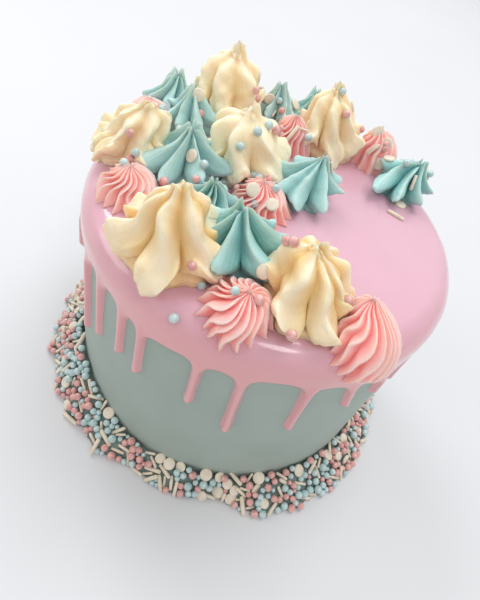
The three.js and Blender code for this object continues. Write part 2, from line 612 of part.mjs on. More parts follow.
// The band of sprinkles heaped round the foot. Its reach out and its rise up the side both
// change round the cake: [azimuth in degrees, millimetres].
const BAND_REACH = [
  [-180, 99], [-140, 101], [-105, 95], [-90, 97], [-76, 94], [-62, 104], [-45, 100], [-25, 102],
  [0, 96.5], [45, 101], [90, 97.5], [135, 102], [180, 99],
];
const BAND_RISE = [
  [-180, 20], [-142, 26], [-125, 18], [-110, 12], [-90, 13], [-70, 13], [-45, 14], [0, 16],
  [50, 19], [100, 14], [150, 18], [180, 20],
];
const BAND_COVER = 1.5; // how far the sprinkles rise above the core's top
const BAND_INSIDE = CAKE_RADIUS + GAP;
const BAND_TOP_WIDTH = 1.5;
const BAND_SHARES = [0, 0.4, 0.8, 1];
const BAND_SIDES = 50;
const BAND_LUMPS = 1.3; // how far the core's surface rises and falls
const BAND_COUNTS = [[DISC, 6], [ROD, 6], [PEARL, 10]];
const BAND_SHARE_RANGE = [0.12, 0.86];
const BAND_BULGE = 0.8; // under 1 the slope is round, over 1 it is hollow
const BAND_SEEDS = { out: 61, up: 71, spin: 77 };

// A place on the band's core: azimuth in degrees and share of the way from its foot to its top.
function bandPlace(azimuth, share) {
  const reach = read(BAND_REACH, azimuth);
  const rise = read(BAND_RISE, azimuth) - BAND_COVER;
  const inner = BAND_INSIDE + BAND_TOP_WIDTH;
  const radius = inner + (reach - inner) * (1 - share) ** BAND_BULGE;
  const turn = radians(azimuth);
  return new THREE.Vector3(radius * Math.cos(turn), radius * Math.sin(turn), rise * share);
}

// The core is a ring of sections, each of which runs up the heap's lumpy slope and back
// down beside the cake.
function bandCore() {
  const points = [];
  for (let i = 0; i < BAND_SIDES; i += 1) {
    const azimuth = (360 * i) / BAND_SIDES - 180;
    const turn = radians(azimuth);
    const out = new THREE.Vector3(Math.cos(turn), Math.sin(turn), 0);
    const slope = BAND_SHARES.map((share, level) => {
      const place = bandPlace(azimuth, share);
      const outwards = spread(BAND_SEEDS.out + level, i, -BAND_LUMPS, BAND_LUMPS);
      const upwards = spread(BAND_SEEDS.up + level, i, -BAND_LUMPS, BAND_LUMPS);
      if (level < BAND_SHARES.length - 1) place.addScaledVector(out, outwards);
      if (level > 0) place.z += upwards;
      return place;
    });
    slope.forEach((place) => points.push(place.x, place.y, place.z));
    const top = slope[slope.length - 1].z;
    [top, 0].forEach((height) => points.push(BAND_INSIDE * out.x, BAND_INSIDE * out.y, height));
  }
  const section = BAND_SHARES.length + 2;
  const index = [];
  for (let i = 0; i < BAND_SIDES; i += 1) {
    const here = i * section;
    const there = ((i + 1) % BAND_SIDES) * section;
    for (let k = 0; k < section; k += 1) {
      const next = (k + 1) % section;
      index.push(here + k, there + k, here + next, there + k, there + next, here + next);
    }
  }
  return toSolid(indexed(points, index));
}

// The sprinkles that show, spread evenly round the band by the golden angle and up its
// slope by a low multiple of the golden ratio.
const GOLDEN_RATIO = (Math.sqrt(5) - 1) / 2;
const SLOPE_STEP = 7 * GOLDEN_RATIO;

function bandSprinkle(shape, k) {
  const [low, high] = BAND_SHARE_RANGE;
  const azimuth = 360 * ((k * GOLDEN_RATIO) % 1) - 180;
  const share = low + (high - low) * ((k * SLOPE_STEP) % 1);
  const place = bandPlace(azimuth, share);
  const uphill = bandPlace(azimuth, 1).sub(place);
  const sideways = new THREE.Vector3(-place.y, place.x, 0);
  const normal = sideways.cross(uphill).normalize();
  place.z = Math.max(place.z, PEARL_RADIUS);
  return sprinkleSolid(shape, place, normal, spread(BAND_SEEDS.spin, k, 0, Math.PI));
}

function bandSolid() {
  const shapes = BAND_COUNTS.flatMap(([shape, count]) => Array(count).fill(shape));
  const depth = CAKE_HEIGHT / 2;
  const cakeSpace = toSolid(turned([[0, -depth], [BAND_INSIDE, -depth], [BAND_INSIDE, depth], [0, depth]]));
  const floor = toSolid(turned([[0, -depth], [2 * CAKE_RADIUS, -depth], [2 * CAKE_RADIUS, 0], [0, 0]]));
  const heap = shapes.reduce((solid, shape, k) => solid.add(bandSprinkle(shape, k)), bandCore());
  return largestBody(heap.subtract(cakeSpace).subtract(floor));
}

const group = new THREE.Group();
group.add(toMesh('cake', cakeSolid(), COLOURS.icing, ROUGHNESS.icing));
group.add(toMesh('pink_glaze', glazeSolid(), COLOURS.glaze, ROUGHNESS.glaze));
group.add(toMesh('sprinkle_band', bandSolid(), COLOURS.sprinkles, ROUGHNESS.sprinkles));
toppedDollops().forEach((solid, i) => {
  group.add(toMesh(DOLLOPS[i].name, solid, DOLLOPS[i].kind.colour, ROUGHNESS.piping));
});

export default group;
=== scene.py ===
import math

import bpy
import numpy as np
from mathutils import Matrix, Vector
from mathutils.bvhtree import BVHTree


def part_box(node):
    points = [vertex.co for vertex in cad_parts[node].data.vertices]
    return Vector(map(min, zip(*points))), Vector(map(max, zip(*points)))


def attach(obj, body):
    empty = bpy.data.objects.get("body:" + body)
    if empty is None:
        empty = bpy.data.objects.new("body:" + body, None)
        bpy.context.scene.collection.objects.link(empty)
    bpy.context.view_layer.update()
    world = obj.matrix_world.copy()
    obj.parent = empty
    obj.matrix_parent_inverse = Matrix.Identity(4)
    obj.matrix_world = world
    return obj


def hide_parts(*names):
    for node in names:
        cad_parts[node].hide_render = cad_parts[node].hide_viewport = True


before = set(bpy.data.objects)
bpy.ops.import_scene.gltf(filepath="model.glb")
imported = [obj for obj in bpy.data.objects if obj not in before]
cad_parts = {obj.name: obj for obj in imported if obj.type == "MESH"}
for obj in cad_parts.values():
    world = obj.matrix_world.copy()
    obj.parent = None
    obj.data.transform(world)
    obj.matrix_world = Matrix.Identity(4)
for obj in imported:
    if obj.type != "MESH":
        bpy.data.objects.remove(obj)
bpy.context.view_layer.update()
MM = 0.001
TAU = 2 * math.pi


def add_object(name, data):
    thing = bpy.data.objects.new(name, data)
    bpy.context.scene.collection.objects.link(thing)
    return thing


# Camera at the photo's viewing angle
CAMERA_PLACE = Vector((0, -0.17487, 0.232905))
CAMERA_YAW = -0.0095
CAMERA_PITCH = 0.8244
CAMERA_ROLL = 0.3579
FILM_HEIGHT = 36
FRAME_WIDTH, FRAME_HEIGHT = 480, 600
FOCAL_PIXELS = 475.283


def camera_axes():
    """The camera's right, up and forward directions."""
    forward = Vector((math.sin(CAMERA_YAW) * math.cos(CAMERA_PITCH),
                      math.cos(CAMERA_YAW) * math.cos(CAMERA_PITCH), -math.sin(CAMERA_PITCH)))
    level = Vector((math.cos(CAMERA_YAW), -math.sin(CAMERA_YAW), 0))
    right = level * math.cos(CAMERA_ROLL) + level.cross(forward) * math.sin(CAMERA_ROLL)
    return right, right.cross(forward), forward


def make_camera():
    data = bpy.data.cameras.new("camera")
    data.sensor_width = FILM_HEIGHT
    data.lens = FOCAL_PIXELS / FRAME_HEIGHT * FILM_HEIGHT
    camera = add_object("camera", data)
    right, up, forward = camera_axes()
    turned_to = Matrix((right, up, -forward)).transposed().to_4x4()
    camera.matrix_world = Matrix.Translation(CAMERA_PLACE) @ turned_to
    bpy.context.scene.camera = camera


def sight_line(pixel):
    """The direction in which the camera sees a pixel of the 480 x 600 frame."""
    right, up, forward = camera_axes()
    across = (pixel[0] - FRAME_WIDTH / 2) / FOCAL_PIXELS
    above = (FRAME_HEIGHT / 2 - pixel[1]) / FOCAL_PIXELS
    return (forward + right * across + up * above).normalized()


make_camera()

# Driving dimensions in millimetres, from the frame
CAKE_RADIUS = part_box("cake")[1].x / MM
CAKE_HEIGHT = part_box("cake")[1].z / MM
GAP = 0.3
RIM_RADIUS = 9.2  # of the cake's rounded rim
GLAZE_THICKNESS = 1
TOP_RADIUS = CAKE_RADIUS - RIM_RADIUS  # where the flat top ends
SIDE_HEIGHT = CAKE_HEIGHT - RIM_RADIUS  # where the straight side ends
GLAZE_OUTSIDE = RIM_RADIUS + GAP + GLAZE_THICKNESS
GLAZE_TOP = SIDE_HEIGHT + GLAZE_OUTSIDE


# Small helpers
RIPPLE_WAVES = 8
WAVE_STRETCH = 1.7  # waves are longer than the bumps that they add up to
RIPPLE_SIZE = 2.8  # about the size of the sum of the waves


def chance(series, k):
    """A repeatable number from 0 to 1 for item k of a series."""
    v = np.sin(series * 12.9898 + np.asarray(k) * 78.233) * 43758.5453
    return v - np.floor(v)


def spread(series, k, low, high):
    """A repeatable number from low to high for item k of a series."""
    return low + (high - low) * chance(series, k)


def ripple(points, seed, length, height=1):
    """Smooth unevenness, mostly from -height to height, with bumps of about this length."""
    rng = np.random.default_rng(seed)
    waves = rng.normal(size=(RIPPLE_WAVES, 3)) * (TAU / length / WAVE_STRETCH)
    unevenness = np.sin(points @ waves.T + rng.uniform(0, TAU, RIPPLE_WAVES)).sum(-1)
    return unevenness / RIPPLE_SIZE * height


def smooth_rows(rows, steps):
    """A table read along a smooth curve, with so many steps from row to row."""
    rows = np.array(rows, float)
    ends = np.vstack([2 * rows[0] - rows[1], rows, 2 * rows[-1] - rows[-2]])
    at = np.linspace(0, len(rows) - 1, (len(rows) - 1) * steps + 1)
    i = np.minimum(at.astype(int), len(rows) - 2)
    f = (at - i)[:, None]
    a, b, c, d = ends[i], ends[i + 1], ends[i + 2], ends[i + 3]
    bend, twist = 2 * a - 5 * b + 4 * c - d, 3 * (b - c) + d - a
    return 0.5 * (2 * b + (c - a) * f + bend * f**2 + twist * f**3)


def grid_faces(rows, columns):
    """Quads of a grid that is closed round its columns."""
    r, c = np.meshgrid(np.arange(rows - 1), np.arange(columns), indexing="ij")
    here, right = r * columns + c, r * columns + (c + 1) % columns
    return np.stack([here, right, right + columns, here + columns], -1).reshape(-1, 4)


def round_rows(profile, sides):
    """Rows of points round the axis, from (radius, height) pairs."""
    turn = np.arange(sides) / sides * TAU
    radius, height = np.array(profile).T[:, :, None]
    return np.stack(np.broadcast_arrays(radius * np.cos(turn), radius * np.sin(turn), height), -1)


def closed(grid, foot, tip):
    """Points and faces of a body from rows of points, drawn together to a point at both ends."""
    rows, columns = grid.shape[:2]
    faces = grid_faces(rows, columns).tolist()
    last, count = (rows - 1) * columns, rows * columns
    for k in range(columns):
        after = (k + 1) % columns
        faces.append([after, k, count])
        faces.append([last + k, last + after, count + 1])
    return np.vstack([grid.reshape(-1, 3), foot, tip]), faces


def make_piece(name, points, faces, material, replaces=(), values=None):
    """A smooth-shaded piece from points in millimetres, riding on the root body."""
    mesh = bpy.data.meshes.new(name)
    mesh.from_pydata((np.asarray(points) * MM).tolist(), [], [list(map(int, f)) for f in faces])
    for key, numbers in (values or {}).items():
        attribute = mesh.attributes.new(key, "FLOAT", "POINT")
        attribute.data.foreach_set("value", np.asarray(numbers, np.float32))
    mesh.polygons.foreach_set("use_smooth", [True] * len(mesh.polygons))
    mesh.materials.append(material)
    piece = add_object(name, mesh)
    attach(piece, "root")
    if replaces:
        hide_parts(*replaces)
    return piece


# Materials
MIX_INPUTS = (0, 6, 7)  # a mix node's factor and its two colours
MIX_OUTPUT = 2


def rgb(code):
    """The linear colour of a #rrggbb code."""
    shares = [int(code[i:i + 2], 16) / 255 for i in (1, 3, 5)]
    return [s / 12.92 if s <= 0.04045 else ((s + 0.055) / 1.055) ** 2.4 for s in shares] + [1]


class Recipe:
    """A material whose nodes are added step by step."""

    def __init__(self, name, roughness, subsurface, radius_mm, coat=0, coat_roughness=0.1, sheen=0):
        self.material = bpy.data.materials.new(name)
        self.material.use_nodes = True
        self.nodes = self.material.node_tree.nodes
        self.links = self.material.node_tree.links
        self.shader = self.nodes["Principled BSDF"]
        self.set(self.shader, {
            "Roughness": roughness, "Subsurface Weight": subsurface, "Subsurface Scale": MM,
            "Subsurface Radius": radius_mm, "Coat Weight": coat, "Coat Roughness": coat_roughness,
            "Sheen Weight": sheen,
        })
        self.place = self.nodes.new("ShaderNodeTexCoord").outputs["Object"]

    def set(self, node, values):
        for key, value in values.items():
            node.inputs[key].default_value = value

    def noise(self, bump_mm, detail=3.0):
        """Noise whose bumps are about this many millimetres across."""
        node = self.nodes.new("ShaderNodeTexNoise")
        self.set(node, {"Scale": 1 / (bump_mm * MM), "Detail": detail})
        self.links.new(self.place, node.inputs["Vector"])
        return node.outputs["Fac"]

    def streaks(self, name):
        """Fine lines that follow an attribute."""
        node = self.nodes.new("ShaderNodeTexNoise")
        node.noise_dimensions = "1D"
        self.set(node, {"Scale": 1.0, "Detail": 2.0})
        self.links.new(self.attribute(name), node.inputs["W"])
        return node.outputs["Fac"]

    def attribute(self, name):
        node = self.nodes.new("ShaderNodeAttribute")
        node.attribute_name = name
        return node.outputs["Fac"]

    def ramp(self, factor, stops):
        """A colour read from stops of (position, colour code)."""
        node = self.nodes.new("ShaderNodeValToRGB")
        elements = node.color_ramp.elements
        while len(elements) < len(stops):
            elements.new(0.5)
        for element, (position, code) in zip(elements, stops):
            element.position = position
            element.color = rgb(code)
        self.links.new(factor, node.inputs["Fac"])
        return node.outputs["Color"]

    def mottled(self, patch_mm, shade, light, detail=2, low=0.3):
        """Soft patches of two colours."""
        return self.ramp(self.noise(patch_mm, detail), [(low, shade), (1 - low, light)])

    def mix(self, factor, first, second, blend="MIX"):
        """Two colours mixed by a factor. Each of the three is a socket or a value."""
        node = self.nodes.new("ShaderNodeMix")
        node.data_type = "RGBA"
        node.blend_type = blend
        sockets = [node.inputs[i] for i in MIX_INPUTS]
        for socket, value in zip(sockets, (factor, first, second)):
            if isinstance(value, bpy.types.NodeSocket):
                self.links.new(value, socket)
            else:
                socket.default_value = value
        return node.outputs[MIX_OUTPUT]

    def colour(self, socket):
        self.links.new(socket, self.shader.inputs["Base Color"])

    def bumps(self, *layers):
        """Bump layers of (height socket, depth in millimetres)."""
        normal = None
        for height, depth_mm in layers:
            node = self.nodes.new("ShaderNodeBump")
            self.set(node, {"Strength": 1.0, "Distance": depth_mm * MM})
            self.links.new(height, node.inputs["Height"])
            if normal:
                self.links.new(normal, node.inputs["Normal"])
            normal = node.outputs["Normal"]
        self.links.new(normal, self.shader.inputs["Normal"])


def piped_material(name, valley, panel, crest, foot, pale):
    """Piped buttercream: painted shade deepens its colour in its grooves, and a painted highlight makes
    it paler on its edges.
    """
    recipe = Recipe(name, roughness=0.5, subsurface=0.5, radius_mm=(3.5, 2.2, 1.2), sheen=0.05)
    fold = recipe.attribute("fold")
    # painted shade in the valleys and a painted highlight on the crests, read from the fold value
    upper = recipe.ramp(fold, [(0.0, valley), (0.55, panel), (1.0, crest)])
    tinted = recipe.mix(recipe.attribute("low"), upper, rgb(foot))
    # painted light: a paler colour mixed in by the dollop's pale value, standing in for the stronger
    # light on some dollops
    tinted = recipe.mix(recipe.attribute("pale"), tinted, rgb(pale))
    mottling = recipe.mottled(6, "#000000", "#ffffff", detail=3)
    recipe.colour(recipe.mix(0.06, tinted, mottling, "OVERLAY"))
    recipe.bumps((recipe.noise(2.4, 5), 0.2), (recipe.noise(0.7), 0.08),
                 (recipe.streaks("streak"), 0.25))
    return recipe.material


def icing_material():
    """Smoothed buttercream on the cake's side, with faint scraper marks."""
    recipe = Recipe("blue_icing", roughness=0.55, subsurface=0.2, radius_mm=(3, 2.4, 2))
    recipe.colour(recipe.mottled(30, "#9caba3", "#a3b1aa"))
    recipe.bumps((recipe.noise(9, 4), 0.2), (recipe.noise(1.2), 0.04))
    return recipe.material


def glaze_material():
    """Glossy glaze with a painted reflection: cooler in colour where it lies level, as if mirroring cool
    light from above, and warmer on its side.
    """
    recipe = Recipe("pink_glaze", roughness=0.28, subsurface=0.25, radius_mm=(2.5, 1.2, 1.2),
                    coat=0.8, coat_roughness=0.08)
    # painted reflection: a warm colour for the side and a cool colour for the level top, mixed by how
    # level the glaze lies
    side = recipe.mottled(45, "#e09fa3", "#e3a5a9")
    top = recipe.mottled(45, "#d5a7b9", "#d9adbe")
    recipe.colour(recipe.mix(recipe.attribute("level"), side, top))
    recipe.bumps((recipe.noise(14, 2), 0.35))
    return recipe.material


def pearl_material(name, shade, light):
    """Sugar pearls with a soft shine."""
    recipe = Recipe(name, roughness=0.3, subsurface=0.15, radius_mm=(0.8, 0.6, 0.5), coat=0.8,
                    coat_roughness=0.12, sheen=0.1)
    recipe.colour(recipe.mottled(2.2, shade, light, low=0.35))
    recipe.bumps((recipe.noise(0.8), 0.06))
    return recipe.material


def sugar_material(name, shade, light):
    """Dull pressed sugar."""
    recipe = Recipe(name, roughness=0.6, subsurface=0.15, radius_mm=(0.8, 0.7, 0.5))
    recipe.colour(recipe.mottled(3.5, shade, light, detail=3, low=0.35))
    recipe.bumps((recipe.noise(0.5), 0.06))
    return recipe.material


# The cake's icing: a turned body with a slightly uneven side
CAKE_SIDES = 300
SIDE_ROWS, RIM_ROWS = 50, 10
SIDE_RIPPLES = [(1, 5, 40, 0.12), (0.3, 6, 12, 0.05)]  # upward stretch, seed, length, depth
SIDE_INSET = 0.2  # how far the icing's side stays inside its full radius


def cake_piece():
    side = np.linspace(0, SIDE_HEIGHT, SIDE_ROWS)
    arc = np.linspace(0, math.pi / 2, RIM_ROWS)[1:]
    profile = [(CAKE_RADIUS, z) for z in side]
    profile += [(TOP_RADIUS + RIM_RADIUS * math.cos(a),
                 SIDE_HEIGHT + RIM_RADIUS * math.sin(a)) for a in arc]
    points, outwards = round_rows(profile, CAKE_SIDES), round_rows([(1, 0)], CAKE_SIDES)
    dent = sum(ripple(points * (1, 1, up), *how) for up, *how in SIDE_RIPPLES) - SIDE_INSET
    points = (points + outwards * dent[..., None]).reshape(-1, 3)
    rows = len(profile)
    faces = grid_faces(rows, CAKE_SIDES).tolist()
    faces.append(list(range(CAKE_SIDES))[::-1])
    faces.append(list(range((rows - 1) * CAKE_SIDES, rows * CAKE_SIDES)))
    return make_piece("cake_icing", points, faces, icing_material(), ["cake"])


# The glaze: azimuth in degrees, height of the lower end and sideways drift of each drip
FRONT_DRIPS = [
    [-139.5, 48, 0], [-129.5, 61, 0], [-119, 67, 0], [-111.6, 65, 0], [-94.5, 67, 0], [-83, 55, 1.2],
    [-65.5, 62, 1], [-52.6, 75, 3], [-40.7, 77, 1],
]
BACK_DRIPS = 12
# Random series and range of a back drip's shift (share of a step), end and drift
BACK_VARIED = [(31, -0.22, 0.22), (32, 50, 78), (33, -0.8, 0.8)]
# Height of the glaze's lower edge between the drips at the front: [azimuth, height]
FRONT_EDGE = [
    [-135, 95.5], [-128, 96], [-119, 95], [-108, 93], [-96, 94.7], [-86, 94.3], [-73, 96.1], [-57, 93.5],
    [-48, 92], [-42, 90],
]
EDGE_HEIGHT = 94.6  # elsewhere, with waves of (height, number in the round, phase)
EDGE_WAVES = [(0.9, 5, 1.2), (0.6, 9, 0.4)]
EDGE_FADE = 6  # degrees from the one to the other
SHEET_RISE = GAP + GLAZE_THICKNESS  # how far the glaze stands off the icing
DRIP_RISE = 2.3
DRIP_HALF_WIDTH = 1.9
DRIP_ROOT = 6  # how far a drip reaches up into the sheet
DRIP_FLARE = 0.5  # wider by this at its top
DRIP_BULB = 0.35  # and by this at its lower end
BULB_FROM = 0.7  # share of its length
DRIP_SHOULDER = 0.4  # share of its half width in which it gets its full rise
RISE_START, RISE_FADE = 2, 6  # its rise starts above the edge and grows downwards
EDGE_BLEND = 7
TIP_BLEND = 0.25  # share of the blend that is left at a drip's end
EDGE_ROUNDING = 1  # how far in from its edge the glaze has most of its rise
UNDER_ICING = -0.6  # past its edge the glaze dips this far under the icing,
CUT_RISE = -0.35  # and is cut off here
OUTSIDE, INSIDE = -99, 9  # far outside and inside the glaze's edge
FULL_RISE = 0.8  # the rise from which the glaze is gently uneven
GLAZE_RIPPLE = (8, 26, 0.1)  # seed, length, height
NEAR_STEP_MM, FAR_STEP_MM = 0.4, 1.1  # from column to column
ROW_STEP_MM = 0.5
TOP_RINGS, BEND_RINGS = 16, 14
DRIP_REACH_MM = 5.5


def drip_list():
    """The drips of the front, and seeded ones round the back."""
    first, last = FRONT_DRIPS[-1][0], FRONT_DRIPS[0][0] + 360
    step = (last - first) / (BACK_DRIPS + 1)
    back = []
    for i in range(BACK_DRIPS):
        shift, end, drift = [spread(series, i, low, high) for series, low, high in BACK_VARIED]
        back.append([first + step * (i + 1 + shift), end, drift])
    return np.array(FRONT_DRIPS + back, float)


def wrapped(degrees):
    """An angle in degrees brought between -180 and 180."""
    return (np.asarray(degrees) + 180) % 360 - 180


def glaze_edge(azimuth):
    """Height of the glaze's lower edge between the drips."""
    turn = np.radians(azimuth)
    waves = [height * np.cos(count * turn + phase) for height, count, phase in EDGE_WAVES]
    wavy = sum(waves, EDGE_HEIGHT)
    places, heights = np.array(FRONT_EDGE).T
    past = np.minimum(azimuth - places[0], places[-1] - azimuth)
    at_front = np.clip(past / EDGE_FADE + 1, 0, 1)
    return wavy + (np.interp(azimuth, places, heights) - wavy) * at_front


def smooth_max(a, b, blend):
    """The larger of two fields, with the corner between them rounded."""
    share = np.maximum(blend - np.abs(a - b), 0) / blend
    return np.maximum(a, b) + share**2 * blend / 4


def glaze_field(azimuth, height, drips):
    """How far inside the glaze's edge a place is, and how much it belongs to a drip."""
    sheet = height - glaze_edge(azimuth)
    edge_at = glaze_edge(wrapped(drips[:, 0]))
    field, drip = sheet, np.zeros_like(sheet)
    for (middle, end, drift), top in zip(drips, edge_at):
        below = np.clip((top - height) / (top - end), 0, 1)
        across = np.radians(wrapped(azimuth - middle - drift * below)) * CAKE_RADIUS
        bulb = DRIP_BULB * np.clip((below - BULB_FROM) / (1 - BULB_FROM), 0, 1)
        half_width = DRIP_HALF_WIDTH + bulb + DRIP_FLARE * (1 - below) ** 3
        past = np.maximum(end + half_width - height, 0)
        inside = half_width - np.hypot(across, past)
        own_field = np.where(height < top + DRIP_ROOT, inside, OUTSIDE)
        field = smooth_max(field, own_field, EDGE_BLEND * (1 + (TIP_BLEND - 1) * below))
        own_rise = np.clip(inside / half_width + DRIP_SHOULDER, 0, 1)
        drip = np.maximum(drip, own_rise * np.clip((top - height + RISE_START) / RISE_FADE, 0, 1))
    return field, drip


def glaze_rise(field, drip):
    """Height of the glaze over the icing, which goes under the icing past the edge."""
    full = SHEET_RISE + (DRIP_RISE - SHEET_RISE) * drip
    rounded = full * np.tanh(field / EDGE_ROUNDING)
    return np.where(field > 0, rounded, np.maximum(field, UNDER_ICING))


def glaze_columns(drips):
    """Azimuths of the glaze's columns, closer together along the drips."""
    columns, azimuth = [], -180.0
    while azimuth < 180:
        columns.append(azimuth)
        away = np.abs(np.radians(wrapped(azimuth - drips[:, 0]))).min() * CAKE_RADIUS
        step = NEAR_STEP_MM if away < DRIP_REACH_MM else FAR_STEP_MM
        azimuth += math.degrees(step / CAKE_RADIUS)
    return np.array(columns)


def glaze_rows(lowest):
    """Rows from the top's middle down the side: radius, height, and the outward and upward
    shares of the normal."""
    rows = [(radius, CAKE_HEIGHT, 0, 1) for radius in np.linspace(1, TOP_RADIUS, TOP_RINGS)]
    for angle in np.linspace(0, math.pi / 2, BEND_RINGS)[1:]:
        c, s = math.cos(angle), math.sin(angle)
        rows.append((TOP_RADIUS + RIM_RADIUS * s, SIDE_HEIGHT + RIM_RADIUS * c, s, c))
    for z in np.arange(SIDE_HEIGHT - ROW_STEP_MM, lowest, -ROW_STEP_MM):
        rows.append((CAKE_RADIUS, z, 1, 0))
    return rows


def glaze_piece():
    drips = drip_list()
    azimuth = glaze_columns(drips)
    turn = np.radians(azimuth)
    outwards = np.stack([np.cos(turn), np.sin(turn), 0 * turn], -1)
    upwards = np.array([0, 0, 1.0])
    rows = glaze_rows(drips[:, 1].min() - 2)
    radius, height, out, up = np.array(rows).T[:, :, None]
    base = outwards[None] * radius[..., None] + upwards * height[..., None]
    normal = outwards[None] * out[..., None] + upwards * up[..., None]
    field, drip = glaze_field(azimuth[None] + 0 * height, height + 0 * azimuth[None], drips)
    rise = glaze_rise(np.where(height > SIDE_HEIGHT, INSIDE, field), drip)
    rise = np.where(rise > FULL_RISE, rise + ripple(base, *GLAZE_RIPPLE), rise)
    points = base + normal * rise[..., None]
    columns = len(azimuth)
    faces = grid_faces(len(rows), columns)
    kept = faces[(rise.reshape(-1)[faces] > CUT_RISE).any(1)][:, ::-1]
    used = np.unique(kept)
    renumber = np.full(points.shape[0] * columns, -1)
    renumber[used] = np.arange(len(used))
    faces = renumber[kept].tolist()
    faces.append(list(range(columns)))
    # how level the glaze lies, which sets its painted reflection colour
    level = (np.broadcast_to(up, height.shape) + 0 * azimuth).reshape(-1)[used]
    return make_piece("glaze_and_drips", points.reshape(-1, 3)[used], faces, glaze_material(),
                      ["pink_glaze"], {"level": level})


# Piped dollops. A dollop is drawn between two outlines, one along the crests of its folds and one
# along the valleys between them. Each row of a kind's shape is crest radius, crest height, valley
# radius, valley height, lip share and crown share, from the foot up, as shares of the dollop's
# size. The habits are those of the cream, teal and pink folds.
HABITS = {
    "folds": (7, 8, 17), "samples": (36, 32, 14), "blunt": (0.2, 0.15, 0.12),
    "sharpness": (1.6, 1.5, 1.15), "petal": (0.85, 0.45, 0), "lip": (0.4, 0.42, 0), "gap": (52, 45, 21),
    "hook": (0.2, 0.2, 0.05), "wander": (0.16, 0.12, 0.03), "upright": (1, 0.8, 0),
    "uneven": (0.14, 0.15, 0.1), "ruffle": (0.11, 0.04, 0), "ragged": (0.3, 0.35, 0.2),
    "layers": (0.3, 0.12, 0), "crown": (0.14, 0.22, 0.1), "twist": (0.25, 0.3, 0.5),
    "spacing": (0.25, 0.25, 0.2), "dents": (0.6, 0.4, 0.15),
}
SHAPE_ROWS = {
    "cream": [
        [0.84, -0.06, 0.72, -0.06, 0, 0], [0.87, 0, 0.74, 0, 0, 0], [0.88, 0.07, 0.74, 0.08, 0, 0],
        [0.85, 0.13, 0.66, 0.14, 0.1, 0], [0.8, 0.17, 0.58, 0.19, 0.35, 0],
        [0.85, 0.195, 0.53, 0.23, 0.75, 0], [0.95, 0.225, 0.5, 0.27, 1, 0],
        [1.01, 0.27, 0.48, 0.31, 1, 0], [1.01, 0.33, 0.47, 0.35, 1, 0], [0.93, 0.38, 0.46, 0.4, 0.95, 0],
        [0.81, 0.42, 0.45, 0.45, 0.7, 0], [0.71, 0.49, 0.44, 0.52, 0.35, 0],
        [0.66, 0.6, 0.42, 0.61, 0.1, 0], [0.62, 0.71, 0.4, 0.71, 0, 0], [0.55, 0.81, 0.36, 0.8, 0, 0],
        [0.42, 0.875, 0.29, 0.87, 0, 0.1], [0.26, 0.91, 0.2, 0.91, 0, 0.4],
        [0.18, 0.945, 0.14, 0.945, 0, 1], [0.16, 0.985, 0.12, 0.98, 0, 1], [0.09, 1, 0.07, 1, 0, 0.8],
    ],
    "teal": [
        [0.76, -0.08, 0.54, -0.08, 0, 0], [0.8, 0, 0.56, 0, 0, 0], [0.8, 0.1, 0.54, 0.1, 0, 0],
        [0.74, 0.18, 0.48, 0.18, 0.15, 0], [0.7, 0.23, 0.43, 0.24, 0.5, 0],
        [0.84, 0.27, 0.4, 0.3, 0.9, 0], [0.95, 0.31, 0.38, 0.35, 1, 0], [1, 0.38, 0.36, 0.4, 1, 0],
        [0.99, 0.45, 0.34, 0.45, 0.9, 0], [0.88, 0.51, 0.32, 0.5, 0.7, 0],
        [0.7, 0.58, 0.28, 0.57, 0.4, 0], [0.55, 0.67, 0.23, 0.66, 0.15, 0],
        [0.43, 0.77, 0.18, 0.76, 0, 0], [0.32, 0.87, 0.13, 0.85, 0, 0.2],
        [0.23, 0.94, 0.09, 0.91, 0, 0.6], [0.15, 0.99, 0.06, 0.94, 0, 1],
        [0.07, 0.99, 0.04, 0.95, 0, 0.8],
    ],
    "pink": [
        [0.95, -0.12, 0.7, -0.12, 0.6, 0], [1.06, -0.01, 0.73, 0, 1, 0], [1, 0.07, 0.71, 0.08, 0.9, 0],
        [0.92, 0.24, 0.64, 0.24, 0.6, 0], [0.82, 0.46, 0.54, 0.45, 0.3, 0],
        [0.67, 0.68, 0.42, 0.67, 0.1, 0], [0.45, 0.86, 0.27, 0.84, 0, 0],
        [0.22, 0.96, 0.13, 0.94, 0, 0.4], [0.08, 1, 0.05, 1, 0, 1],
    ],
}
KINDS = {name: {habit: numbers[i] for habit, numbers in HABITS.items()} | {"rows": rows}
         for i, (name, rows) in enumerate(SHAPE_ROWS.items())}
ROW_STEPS = 4
TIP_HEIGHT = 0.2
PETAL_ROUNDNESS = 0.55  # less makes a petal's end broader
FULL_GAP = 0.6  # share of the usual gap between crests at which a valley has its full depth
SHALLOW_DEPTH = 0.6  # valleys less deep than this lose their crease
JOINED_DEPTH = 0.45  # folds with a valley less deep than this between them bend alike
DOME_FROM = 0.35  # height share from which a body swells
STREAK_COLUMNS = 2.5  # columns across one of the fine streaks down the folds
LIP_FROM, CROWN_FROM = 0.45, 0.85  # height shares between which a fold swings from lip to crown
# Random series of a dollop's folds, with the range of its numbers
VARIED = {
    "lip": (60, -1, 1), "reach": (61, -0.6, 1), "height": (62, -1, 1), "depth": (50, -1, 1),
    "hook": (20, -0.2, 1), "wander": (80, 0, 1), "ruffle": (140, 0, 1), "crown": (110, -0.3, 1),
}
START_ITEM = 7  # of the random series, says where the folds start
LIP_UNEVEN = 0.06
DEPTH_RANGE = (0.45, 1.2)
BODY_REACH = 0.35  # share of a fold's own reach that its body has away from the lip
RUFFLE_WAVES = 1.5  # along a lip
LEAN_POWER = 1.4
UPRIGHT_FROM = 0.3  # height share from which a dollop on the rim stands upright
MIDDLE_HEIGHT = 0.4  # height share of the middle, from which the unevenness points outwards
LOW_PART = 0.36  # height share of the foot, where the colour is deeper
DENT_MM, GRAIN_MM, RAGGED_MM, LAYER_MM = 9, 2.5, 3, 14  # lengths of the unevenness
GRAIN_HEIGHT = 0.06
LAYER_PITCH = 4.2  # radians for each millimetre of height
